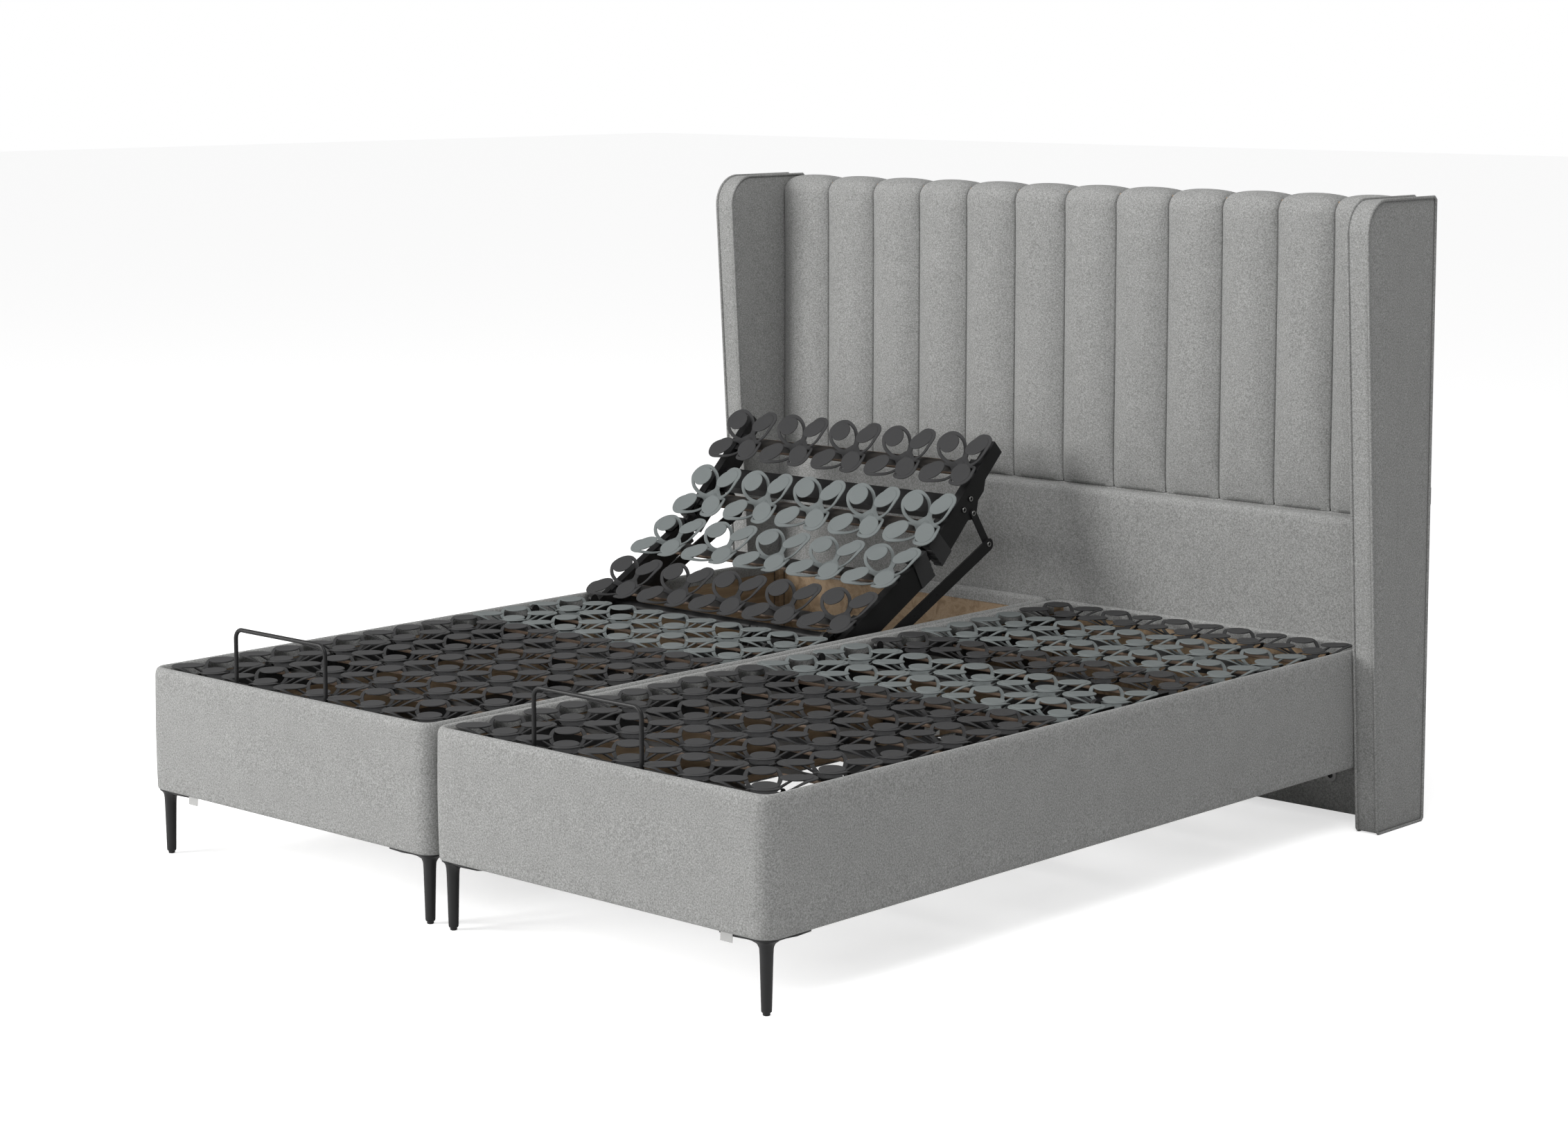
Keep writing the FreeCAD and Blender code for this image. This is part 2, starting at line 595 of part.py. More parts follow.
def on_both_bases(items):
    """Every piece once under each of the two boxes."""
    made = []
    for side, sign in SIDES.items():
        for item in items:
            holder = doc.addObject("Part::Compound", f"{side}_{item.Name}")
            holder.Links = [item]
            made.append(place(holder, f"{sign} * box_centre", "foot_face"))
    return made


def box_cover():
    """Upholstery sleeve of one box, rounded at its corners and rolled over the boards at the rim."""
    wall, boards = size("cover_wall"), size("board_thickness")
    half, length = size("box_width") / 2, size("box_length")
    low, top = size("box_bottom"), size("box_top")
    outer = Part.makeBox(2 * half, length, top - low, FreeCAD.Vector(-half, 0, low))
    upright = [edge for edge in outer.Edges if abs(edge.Vertexes[0].Z - edge.Vertexes[-1].Z) > top - low - 1]
    outer = outer.makeFillet(size("box_corner"), upright)
    rim = [edge for edge in outer.Edges if edge.BoundBox.ZMin > top - 1]
    outer = outer.makeFillet(size("rim_round"), rim)
    opening = Part.makeBox(2 * (half - wall - boards), length - 2 * (wall + boards), top,
                           FreeCAD.Vector(wall + boards - half, wall + boards, low))
    pocket = Part.makeBox(2 * (half - wall), length - 2 * wall, size("board_top") - low - 4,
                          FreeCAD.Vector(wall - half, wall, low + 4))
    corners = [edge for edge in pocket.Edges if abs(edge.Vertexes[0].Z - edge.Vertexes[-1].Z) > 50]
    pocket = pocket.makeFillet(size("box_corner") - wall, corners)
    return outer.cut(opening).cut(pocket)


cover = shape_piece("cover_solid", box_cover())
for side, sign in SIDES.items():
    place_node(node(f"{side}_box_cover", cover), f"{sign} * box_centre", "foot_face", 0)

BOARD = "(cover_wall + board_thickness)"
half_inside = f"(box_width / 2 - {BOARD})"
side_boards = pair(cuboid(
    "side_board", (half_inside, "box_corner", "box_bottom + 4.3"),
    ("box_width / 2 - cover_wall - 0.3", "box_length - box_corner", "board_top - 0.3")))
end_span = "(box_width / 2 - box_corner)"
foot_board = cuboid("foot_board", (f"-{end_span}", "cover_wall + 0.3", "box_bottom + 4.3"),
                    (end_span, BOARD, "board_top - 0.3"))
head_board = cuboid("head_inner_board", (f"-{end_span}", f"box_length - ({BOARD})", "box_bottom + 4.3"),
                    (end_span, "box_length - cover_wall - 0.3", "board_top - 0.3"))
corner_blocks = []
for name, near in (("foot", f"{BOARD} + 0.3"), ("head", f"box_length - box_corner + 0.3")):
    corner_blocks += pair(cuboid(
        f"{name}_corner_block", (f"{end_span} + 0.3", near, "box_bottom + 4.3"),
        (f"{half_inside} - 0.3", f"{near} + box_corner - {BOARD} - 0.6", "board_top - 0.3")))
node("box_boards", *on_both_bases(side_boards + [foot_board, head_board] + corner_blocks))

TUBE_TOP = "tube_low + tube_high"
side_tubes = pair(cuboid("side_tube", ("side_tube_inner", 44, "tube_low"),
                         ("side_tube_outer", 1956, TUBE_TOP)))
CROSS_TUBES = {"foot": 60, "knee": 640, "seat": 1120, "lumbar": 1560, "head": 1900}
cross_tubes = [cuboid(f"{name}_cross_tube",
                      ("-side_tube_inner", distance, "tube_low"),
                      ("side_tube_inner", f"{distance} + cross_tube_width", TUBE_TOP))
               for name, distance in CROSS_TUBES.items()]
seat_rails = rail_pair("seat_rail", "thigh_hinge + 22", "back_hinge - 22", "0")
seat_posts = pair(cuboid("seat_post", ("side_tube_inner", 1130, TUBE_TOP),
                         ("rail_outer", 1176, "rail_top - rail_depth")))
calf_ledges = pair(cuboid("calf_ledge", ("rail_inner", 40, 303),
                          ("side_tube_outer", 240, 311.5)))
ledge_posts = pair(cuboid("ledge_post", ("side_tube_outer - 12", 120, TUBE_TOP),
                          ("side_tube_outer", 160, 303)))


def arm_brackets():
    """Plates on the side tubes that carry the neck arms' lower studs."""
    start = arm_start + size("arm_thickness") + 0.4
    along, height = size("arm_pivot"), size("arm_pivot_height")
    plate = Part.makeBox(4, 44, height - 204, FreeCAD.Vector(start, along - 22, 208))
    stud = Part.makeCylinder(size("link_bolt_radius"), start - arm_start + 1,
                             FreeCAD.Vector(arm_start, along, height), FreeCAD.Vector(1, 0, 0))
    foot = Part.makeBox(start + 4 - size("side_tube_outer") + 12, 44, 14,
                        FreeCAD.Vector(size("side_tube_outer") - 12, along - 22, 208))
    return pair(shape_piece("arm_bracket", plate.fuse([stud, foot])))


def actuator_brackets():
    """Blocks on the cross tubes under each actuator housing."""
    made = []
    for name, along, sign in (("back", "650", 1), ("leg", "1565", -1)):
        middle = f"{sign} * actuator_offset"
        made.append(cuboid(f"{name}_actuator_bracket", (f"{middle} - 20", along, TUBE_TOP),
                           (f"{middle} + 20", f"{along} + 24", 262)))
    return made


back_studs = moved(outer_lugs("seat_back_lug", -1), "back_hinge", "hinge_height", "seat_back_lug_at")
thigh_studs = moved(outer_lugs("seat_thigh_lug", 1), "thigh_hinge", "hinge_height", "seat_thigh_lug_at")
node("base_frames", *on_both_bases(
    side_tubes + cross_tubes + seat_rails + seat_posts + calf_ledges + ledge_posts + arm_brackets()
    + actuator_brackets() + back_studs + thigh_studs + slat_holders("seat_holder", (5,), "0", "0")))
node("seat_slats", *on_both_bases(slats("seat_slat", (5,), "0", "0")))


def seat_modules():
    group = []
    for column in range(MODULES_PER_ROW):
        copy = MODULE.copy()
        across = (column - (MODULES_PER_ROW - 1) / 2) * size("module_pitch")
        copy.translate(FreeCAD.Vector(across, size("row_5"), size("slat_top")))
        group.append(copy)
    return [shape_piece("seat_module_group", Part.makeCompound(group))]


node("seat_modules", *on_both_bases(seat_modules()))


def actuator_shape(direction, hinge, pin_height, tube_near, tube_length, box_length):
    """Motor and gearbox housing with the outer tube that guides the push rod."""
    middle = size("actuator_offset") * direction
    height = size("hinge_height") + pin_height
    mouth = FreeCAD.Vector(middle, tube_near, height)
    away = FreeCAD.Vector(0, -direction, 0)
    tube = Part.makeCylinder(size("tube_radius"), tube_length, mouth, away)
    bore = Part.makeCylinder(size("rod_radius") + 1, tube_length - 8, mouth, away)
    far = tube_near - direction * tube_length
    low_y = min(far, far - direction * box_length)
    gearbox = Part.makeBox(68, box_length, 60, FreeCAD.Vector(middle - 34, low_y, 262))
    gearbox = gearbox.makeFillet(10, [edge for edge in gearbox.Edges if edge.Length > box_length - 1])
    motor = Part.makeCylinder(25, 78, FreeCAD.Vector(middle, low_y + box_length / 2, 288),
                              FreeCAD.Vector(-direction, 0, 0))
    return tube.fuse([gearbox, motor]).cut(bore)


housings = [
    shape_piece("back_actuator", actuator_shape(1, "back_hinge", BACK_PIN_HEIGHT, 1160, 260, 250)),
    shape_piece("leg_actuator", actuator_shape(-1, "thigh_hinge", THIGH_PIN_HEIGHT, 1160, 270, 200))]
node("actuator_housings", *on_both_bases(housings))

control_box = cuboid("control_box_body", (-150, 1250, TUBE_TOP), (-30, 1330, 240))
control_bracket = cuboid("control_box_tray", (-200, 1160, "tube_low"), (20, 1340, TUBE_TOP))
control_round = doc.addObject("Part::Fillet", "control_box_round")
control_round.Base = control_box
control_round.Edges = [(index, 6, 6) for index in (1, 3, 5, 7)]
inlet = cuboid("control_inlet", (-110, 1330, 212), (-70, 1334, 236))
node("control_boxes", *on_both_bases([control_round, inlet]))
node("control_trays", *on_both_bases([control_bracket]))


# ---------------------------------------------------------------- legs

def corner_leg():
    """Tapered leg under a thin corner plate. Modelled for the corner towards +X at the foot end."""
    inset, reach, thick = size("leg_inset"), size("plate_reach"), size("plate_thickness")
    half, top = size("box_width") / 2, size("box_bottom")
    centre = FreeCAD.Vector(half - inset, inset, 0)
    taper = Part.makeCone(size("leg_foot_radius"), size("leg_top_radius"), top - thick - size("glide_height"),
                          centre + FreeCAD.Vector(0, 0, size("glide_height")))
    flare = Part.makeCone(size("leg_top_radius"), 24, 14, centre + FreeCAD.Vector(0, 0, top - thick - 14))
    edge = 6
    corners = [(half - edge, edge + 20), (half - edge, reach), (half - edge - 26, reach - 20),
               (half - 62, 62), (half - reach + 20, edge + 26), (half - reach, edge),
               (half - edge - 20, edge)]
    plate = outline(corners, "z", top - thick, thick)
    return plate.fuse([taper, flare])


leg = shape_piece("corner_leg_solid", corner_leg())
node("corner_legs", *on_both_bases(pair(leg)))
leg_glide = rod("leg_glide_solid", ("box_width / 2 - leg_inset", "leg_inset", 0), 7, "glide_height")
node("leg_glides", *on_both_bases(pair(leg_glide)))


# ---------------------------------------------------------------- headboard

def at_foot(value):
    return f"foot_face + {value}"


core = cuboid("core_board", ("-core_half", at_foot("core_front"), "panel_bottom"),
              ("core_half", at_foot("head_back"), "channel_top - 18"))
node("headboard_core", core)
lower_panel = cuboid("lower_panel_pad", ("-core_half", at_foot("panel_front"), "panel_bottom"),
                     ("core_half", at_foot("core_front"), "seam_height - 1"))
panel_round = doc.addObject("Part::Fillet", "lower_panel_round")
panel_round.Base = lower_panel
panel_round.Edges = [(10, 8, 8), (9, 8, 8)]
node("headboard_lower_panel", panel_round)


def channel_body():
    """One padded channel: a front roll that turns over the top of the board, made as a padded sketch."""
    body = doc.addObject("PartDesign::Body", "channel_body")
    sketch = body.newObject("Sketcher::SketchObject", "channel_profile")
    plane = [item for item in body.Origin.OriginFeatures if item.Role == "YZ_Plane"][0]
    sketch.AttachmentSupport = (plane, "")
    sketch.MapMode = "FlatFace"
    depth_front = size("core_front") - size("channel_front")
    depth_all = size("head_back") - size("channel_front")
    tall = size("channel_top") - size("seam_height")
    cap = 18
    corners = [(0, 0), (depth_front, 0), (depth_front, tall - cap), (depth_all, tall - cap),
               (depth_all, tall), (0, tall)]
    for (y, z), (next_y, next_z) in zip(corners, corners[1:] + corners[:1]):
        sketch.addGeometry(Part.LineSegment(FreeCAD.Vector(y, z, 0), FreeCAD.Vector(next_y, next_z, 0)), False)
    for index in range(len(corners)):
        sketch.addConstraint(Sketcher.Constraint("Coincident", index, 2, (index + 1) % len(corners), 1))
    for index in (0, 2, 4):
        sketch.addConstraint(Sketcher.Constraint("Horizontal", index))
    for index in (1, 3, 5):
        sketch.addConstraint(Sketcher.Constraint("Vertical", index))
    sketch.addConstraint(Sketcher.Constraint("Coincident", 0, 1, -1, 1))
    named = {"front_depth": (("DistanceX", 0, 1, 0, 2, depth_front), "core_front - channel_front"),
             "whole_depth": (("DistanceX", 4, 2, 4, 1, depth_all), "head_back - channel_front"),
             "height": (("DistanceY", 5, 2, 5, 1, tall), "channel_top - seam_height"),
             "cap": (("DistanceY", 3, 1, 3, 2, cap), "18")}
    for label, (arguments, expression) in named.items():
        number = sketch.addConstraint(Sketcher.Constraint(*arguments))
        sketch.renameConstraint(number, label)
        bind(sketch, f"Constraints.{label}", expression)
    doc.recompute()
    pad = body.newObject("PartDesign::Pad", "channel_pad")
    pad.Profile = sketch
    bind(pad, "Length", "2 * core_half / channel_count - 0.6")
    doc.recompute()
    front = [f"Edge{number}" for number, edge in enumerate(pad.Shape.Edges, start=1)
             if edge.BoundBox.YMax < 0.1 and edge.BoundBox.ZLength > 100]
    top = [f"Edge{number}" for number, edge in enumerate(pad.Shape.Edges, start=1)
           if edge.BoundBox.YMax < 0.1 and edge.BoundBox.ZMin > tall - 0.1]
    sides = body.newObject("PartDesign::Fillet", "channel_sides")
    sides.Base = (pad, front + top)
    sides.Radius = 17
    doc.recompute()
    return body


channel = channel_body()


def channel_copy(index):
    holder = doc.addObject("Part::Compound", f"channel_{index}")
    holder.Links = [channel]
    return place(holder, f"-core_half + {index} * 2 * core_half / channel_count + 0.3",
                 "foot_face + channel_front", "seam_height")


node("headboard_channels", *[channel_copy(index) for index in range(DRIVING_SIZES["channel_count"])])


def wing_shape():
    """Upholstered side wing: slanted front edge, rounded upper front corner, square back."""
    low, top, back = size("wing_bottom"), size("head_height"), size("head_back")
    corner, slope = size("wing_corner"), size("wing_slope")
    front_low = size("wing_front") - low * slope
    lean = FreeCAD.Vector(0, -slope, 1).normalize()
    knee = FreeCAD.Vector(0, size("wing_front") - top * slope, top)
    reach = corner * (1 + slope)
    entry, leave = knee - lean * reach, knee + FreeCAD.Vector(0, reach, 0)
    normal = FreeCAD.Vector(0, 1, slope).normalize()
    centre = entry + normal * corner
    middle = centre - (normal + FreeCAD.Vector(0, 0, -1)).normalize() * corner
    start = FreeCAD.Vector(0, front_low, low)
    rear_low, rear_top = FreeCAD.Vector(0, back, low), FreeCAD.Vector(0, back, top)
    edges = [Part.makeLine(start, entry), Part.Arc(entry, middle, leave).toShape(),
             Part.makeLine(leave, rear_top), Part.makeLine(rear_top, rear_low), Part.makeLine(rear_low, start)]
    face = Part.Face(Part.Wire(edges))
    face.translate(FreeCAD.Vector(size("wing_inner"), size("foot_face"), 0))
    solid = face.extrude(FreeCAD.Vector(size("wing_outer") - size("wing_inner"), 0, 0))
    return solid


wing_body = shape_piece("wing_solid", wing_shape())
node("headboard_wings", *pair(wing_body))

wing_glides = [rod(f"wing_glide_{index}", (936, at_foot(distance), 0), 12, "wing_bottom")
               for index, distance in enumerate((1960, 2070))]
panel_glide = rod("panel_glide", (500, at_foot(2070), 0), 12, "panel_bottom")
node("headboard_glides", *[piece for item in wing_glides + [panel_glide] for piece in pair(item)])

BRACKET_SPOTS = (120, 788)
brackets, bolts = [], []
for index, spot in enumerate(BRACKET_SPOTS):
    brackets += pair(cuboid(f"head_bracket_{index}", (spot - 25, at_foot("box_length - 60"), "box_bottom - 4"),
                            (spot + 25, at_foot("panel_front - 2"), "box_bottom")))
    brackets += pair(cuboid(f"head_hook_{index}", (spot - 25, at_foot("panel_front - 2"), 116),
                            (spot + 25, at_foot("panel_front"), "box_bottom")))
    bolts += pair(rod(f"head_bolt_{index}", (spot, at_foot("panel_front - 4"), 96), 16, 4, "y"))
node("head_brackets", *brackets)
node("bracket_bolts", *bolts)

TAGS = {"back_tag": ((956, 2105, 716), (957, 2119, 754)),
        "left_foot_tag": ((-774, 1, 128), (-744, 2, 143.5)),
        "right_foot_tag": ((786, 1, 128), (816, 2, 143.5))}
node("sewn_tags", *[cuboid(name, (low[0], at_foot(low[1]), low[2]), (high[0], at_foot(high[1]), high[2]))
                    for name, (low, high) in TAGS.items()])


# ---------------------------------------------------------------- checks and export

doc.recompute()
for item in doc.Objects:
    if "Invalid" in item.State or "Error" in item.State:
        raise RuntimeError(f"{item.Name} is {item.State}")
for item in NODES:
    if item.Shape.isNull() or not item.Shape.isValid() or not item.Shape.Solids:
        raise RuntimeError(f"{item.Label} has no valid solid")
for item in NODES:
    item.Shape.exportStep(f"parts/{item.Label}.step")

whole = NODES[0].Shape.BoundBox
for item in NODES[1:]:
    whole.add(item.Shape.BoundBox)
print(len(NODES), "nodes", sum(len(item.Shape.Solids) for item in NODES), "solids", whole)
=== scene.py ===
import json
import math
import random

import bmesh
import bpy
from mathutils import Matrix, Vector, noise


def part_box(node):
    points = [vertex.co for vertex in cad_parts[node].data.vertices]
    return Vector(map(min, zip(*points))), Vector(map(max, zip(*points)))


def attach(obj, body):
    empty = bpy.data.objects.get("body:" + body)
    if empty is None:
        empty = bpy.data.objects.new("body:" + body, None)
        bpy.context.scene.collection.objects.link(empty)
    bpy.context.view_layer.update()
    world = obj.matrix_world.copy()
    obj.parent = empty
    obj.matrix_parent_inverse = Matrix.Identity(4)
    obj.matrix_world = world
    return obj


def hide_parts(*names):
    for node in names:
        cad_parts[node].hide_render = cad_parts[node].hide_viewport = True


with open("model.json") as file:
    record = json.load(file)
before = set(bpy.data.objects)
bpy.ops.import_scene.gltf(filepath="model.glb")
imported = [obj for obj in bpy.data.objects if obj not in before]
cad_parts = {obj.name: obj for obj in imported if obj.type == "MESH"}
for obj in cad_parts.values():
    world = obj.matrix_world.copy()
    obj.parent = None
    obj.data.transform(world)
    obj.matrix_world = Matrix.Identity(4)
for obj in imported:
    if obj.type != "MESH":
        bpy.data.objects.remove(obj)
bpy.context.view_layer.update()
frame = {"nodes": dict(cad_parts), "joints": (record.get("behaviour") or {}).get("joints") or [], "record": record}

# Twin adjustable bed base: upholstered boxes, spring modules on folding frames, channelled headboard.
# Metres, in the frame of the CAD model. Places come from the CAD nodes and joints.

MM = 0.001
SIDES = ("left", "right")
JOINTS = {joint["name"]: joint for joint in frame["joints"]}
RATIOS = {pair["joint"]: pair["ratio"] for pair in frame["record"]["behaviour"]["couplings"]}
ROOT = "bed_root"
SECTIONS = ("back", "neck", "thigh", "calf")

# studio: strengths of the surroundings as a light, and of the floor's glow that only the camera sees
SKY_LIGHT = 0.4
FLOOR_GLOW = 0.62
FLOOR_REACH = 40

# upholstery
BASE_HALF_WIDTH = 450 * MM
BOX_CORNER = 38 * MM
CHANNEL_COUNT = 12
CHANNEL_ROLL, SEAM_ROLL = 46 * MM, 30 * MM
ROLL_DROP = 48 * MM
SEAM_DEPTH = 21 * MM
WING_CORNER = 70 * MM
WING_LEAN = 0.0644
CORD_RADIUS = 3.3 * MM

# legs and linkage bolts
PLATE_ARM = 96 * MM
ARM_LENGTH = 515.2 * MM
NECK_BOLTS = ((185, -26), (150.7, -26))
NECK_RING_FACE, LINK_RING_FACE, ARM_RING_FACE = 403.6 * MM, 404.4 * MM, 409.4 * MM


# ---------------- camera, light and floor

def link(name, data):
    """New object in the scene."""
    item = bpy.data.objects.new(name, data)
    bpy.context.scene.collection.objects.link(item)
    return item


def configure(target, **values):
    """Several properties of one thing at once."""
    for key, value in values.items():
        setattr(target, key, value)
    return target


def set_inputs(node, values):
    """Fixed values on the sockets of a node."""
    for socket, value in values.items():
        node.inputs[socket].default_value = value


def make_camera():
    """Camera at the viewing angle of the product shot: from the foot end, on the right, above eye level."""
    data = configure(bpy.data.cameras.new("view_camera"), lens=74.537, sensor_width=36, shift_y=-0.1,
                     clip_end=200)
    camera = link("view_camera", data)
    camera.location = (4.7289, -5.1958, 1.736)
    camera.rotation_euler = (math.radians(90 - 6.543), 0, math.radians(42.457))
    bpy.context.scene.camera = camera
    bpy.context.scene.view_settings.view_transform = "Standard"


def area_light(name, location, target, width, height, power, colour=(1, 1, 1)):
    data = configure(bpy.data.lights.new(name, "AREA"), shape="RECTANGLE", size=width, size_y=height,
                     energy=power, color=colour)
    light = link(name, data)
    light.location = location
    direction = Vector(target) - Vector(location)
    light.rotation_euler = direction.to_track_quat("-Z", "Y").to_euler()


def make_lights():
    area_light("key_light", (-4.3, -6.7, 3.2), (0, -0.2, 0.5), 3.4, 3.0, 580, (1.0, 0.995, 0.985))
    area_light("top_light", (-0.5, -0.5, 5.0), (0, 0, 0.3), 4.0, 4.0, 40)
    area_light("fill_light", (2.3, -2.0, 4.6), (-0.7, 0.7, 0.9), 2.6, 2.6, 120)


def make_world():
    """Soft white surroundings, dimmer as a light than they look to the camera."""
    world = bpy.data.worlds.new("studio")
    bpy.context.scene.world = world
    world.use_nodes = True
    tree = world.node_tree
    soft = tree.nodes["Background"]
    seen = tree.nodes.new("ShaderNodeBackground")
    for backdrop, strength in ((soft, SKY_LIGHT), (seen, 1.0)):
        set_inputs(backdrop, {"Color": (1, 1, 1, 1), "Strength": strength})
    path = tree.nodes.new("ShaderNodeLightPath")
    mix = tree.nodes.new("ShaderNodeMixShader")
    tree.links.new(path.outputs["Is Camera Ray"], mix.inputs[0])
    tree.links.new(soft.outputs[0], mix.inputs[1])
    tree.links.new(seen.outputs[0], mix.inputs[2])
    tree.links.new(mix.outputs[0], tree.nodes["World Output"].inputs["Surface"])


def make_floor():
    """Pale floor, with a glow that only the camera sees."""
    mesh = bpy.data.meshes.new("studio_floor")
    corners = [(x * FLOOR_REACH, y * FLOOR_REACH, 0) for x, y in ((-1, -1), (1, -1), (1, 1), (-1, 1))]
    mesh.from_pydata(corners, [], [(0, 1, 2, 3)])
    floor = link("studio_floor", mesh)
    material = bpy.data.materials.new("pale_floor")
    material.use_nodes = True
    tree = material.node_tree
    shader = tree.nodes["Principled BSDF"]
    set_inputs(shader, {"Base Color": (0.82, 0.82, 0.82, 1), "Roughness": 0.9, "Specular IOR Level": 0.1,
                        "Emission Color": (1, 1, 1, 1)})
    path = tree.nodes.new("ShaderNodeLightPath")
    glow = tree.nodes.new("ShaderNodeMath")
    glow.operation = "MULTIPLY"
    glow.inputs[1].default_value = FLOOR_GLOW
    tree.links.new(path.outputs["Is Camera Ray"], glow.inputs[0])
    tree.links.new(glow.outputs[0], shader.inputs["Emission Strength"])
    mesh.materials.append(material)


# ---------------- materials

class Finish:
    """One procedural material and short ways to add nodes to it."""

    def __init__(self, name, roughness, metallic=0.0, specular=0.5, sheen=0.0, sheen_roughness=0.5):
        self.material = bpy.data.materials.new(name)
        self.material.use_nodes = True
        self.tree = self.material.node_tree
        self.shader = self.tree.nodes["Principled BSDF"]
        set_inputs(self.shader, {"Roughness": roughness, "Metallic": metallic, "Specular IOR Level": specular,
                                 "Sheen Weight": sheen, "Sheen Roughness": sheen_roughness})
        self.place = self.tree.nodes.new("ShaderNodeTexCoord").outputs["Object"]

    def node(self, kind, settings=None, **inputs):
        item = configure(self.tree.nodes.new(kind), **(settings or {}))
        for key, value in inputs.items():
            self.set(item, key.replace("_", " "), value)
        return item

    def set(self, item, socket, value):
        target = item.inputs[socket]
        if isinstance(value, bpy.types.NodeSocket):
            self.tree.links.new(value, target)
        else:
            target.default_value = value

    def stretched(self, x, y, z):
        """Object coordinates scaled per axis, for grain and brushing."""
        return self.node("ShaderNodeMapping", Vector=self.place, Scale=(x, y, z)).outputs[0]

    def noise(self, scale, detail=2.0, roughness=0.5, place=None, distortion=0.0):
        item = self.node("ShaderNodeTexNoise", Vector=place or self.place, Scale=scale, Detail=detail,
                         Roughness=roughness, Distortion=distortion)
        return item.outputs["Fac"]

    def ramp(self, factor, stops):
        item = self.node("ShaderNodeValToRGB", Fac=factor)
        ramp = item.color_ramp
        while len(ramp.elements) < len(stops):
            ramp.elements.new(0.5)
        for element, (position, colour) in zip(ramp.elements, stops):
            element.position = position
            element.color = (*colour, 1)
        return item.outputs["Color"]

    def blend(self, factor, a, b, mode="MIX"):
        item = self.node("ShaderNodeMix", {"data_type": "RGBA", "blend_type": mode})
        for socket, value in ((0, factor), (6, a), (7, b)):
            self.set(item, socket, (*value, 1) if isinstance(value, tuple) else value)
        return item.outputs[2]

    def spread(self, factor, low, high):
        return self.node("ShaderNodeMapRange", Value=factor, To_Min=low, To_Max=high).outputs["Result"]

    def colour(self, value):
        self.set(self.shader, "Base Color", value if isinstance(value, bpy.types.NodeSocket) else (*value, 1))

    def roughness(self, value):
        self.set(self.shader, "Roughness", value)

    def bump(self, height, distance, strength=1.0, under=None):
        item = self.node("ShaderNodeBump", Height=height, Distance=distance, Strength=strength)
        if under is not None:
            self.set(item, "Normal", under)
        self.set(self.shader, "Normal", item.outputs[0])
        return item.outputs[0]


def shaded(tone, factor):
    return tuple(value * factor for value in tone)


def melange_fabric(name, shade=1.0):
    """Felted light-grey upholstery: light and dark fibres, soft clouds and a fine nap."""
    cloth = Finish(name, roughness=0.92, specular=0.2, sheen=0.12, sheen_roughness=0.45)
    dark = shaded((0.166, 0.167, 0.163), shade)
    middle = shaded((0.252, 0.254, 0.249), shade)
    light = shaded((0.348, 0.350, 0.344), shade)
    fibres = cloth.noise(330, detail=4, roughness=0.62, distortion=0.35)
    melange = cloth.ramp(fibres, [(0.34, dark), (0.5, middle), (0.66, light)])
    clouds = cloth.spread(cloth.noise(26, detail=3, roughness=0.55), 0.9, 1.08)
    tone = cloth.blend(1.0, melange, clouds, "MULTIPLY")
    broad = cloth.spread(cloth.noise(3.2, detail=1), 0.96, 1.04)
    cloth.colour(cloth.blend(1.0, tone, broad, "MULTIPLY"))
    cloth.roughness(cloth.spread(fibres, 0.85, 0.98))
    nap = cloth.bump(cloth.noise(1400, detail=3, roughness=0.7), 0.0006, 0.35)
    weave = cloth.node("ShaderNodeTexVoronoi", {"feature": "SMOOTH_F1"}, Vector=cloth.place, Scale=620.0)
    cloth.bump(weave.outputs["Distance"], 0.0005, 0.3, nap)
    return cloth.material


def wood(name, tones, along):
    """Veneered board: long grain, darker pores and broad rings. Along is 0 for X or 1 for Y."""
    board = Finish(name, roughness=0.5, specular=0.35)
    stretch = [11.0, 11.0, 11.0]
    stretch[along] = 0.9
    rings = board.noise(2.6, detail=3, roughness=0.55, place=board.stretched(*stretch), distortion=1.4)
    stripes = board.ramp(rings, [(0.3, tones[0]), (0.46, tones[1]), (0.56, tones[2]), (0.72, tones[1])])
    fine = [90.0, 90.0, 90.0]
    fine[along] = 2.2
    pores = board.noise(4.0, detail=4, roughness=0.65, place=board.stretched(*fine))
    dark_pores = board.spread(pores, 0.62, 1.22)
    board.colour(board.blend(1.0, stripes, dark_pores, "MULTIPLY"))
    board.roughness(board.spread(pores, 0.42, 0.66))
    board.bump(pores, 0.0004, 0.35)
    return board.material


def powder_coat(name, tone=(0.006, 0.006, 0.0063)):
    """Black powder coat with orange-peel texture and faint dust."""
    steel = Finish(name, roughness=0.42, specular=0.3)
    peel = steel.noise(900, detail=2)
    dust = steel.noise(14, detail=4, roughness=0.6)
    lighter = tuple(value * 1.9 + 0.002 for value in tone)
    steel.colour(steel.blend(steel.spread(dust, 0.0, 1.0), tone, lighter))
    steel.roughness(steel.spread(dust, 0.34, 0.52))
    steel.bump(peel, 0.0002, 0.4)
    return steel.material


def moulded_plastic(name, tone, roughness, texture=0.15, specular=0.4):
    """Moulded plastic with a fine eroded surface and slight tone differences."""
    spread = 0.06
    plastic = Finish(name, roughness=roughness, specular=specular)
    cloud = plastic.noise(22, detail=3)
    plastic.colour(plastic.blend(cloud, shaded(tone, 1 - spread), shaded(tone, 1 + spread)))
    plastic.roughness(plastic.spread(cloud, roughness - 0.05, roughness + 0.08))
    plastic.bump(plastic.noise(1100, detail=2), 0.00015, texture)
    return plastic.material


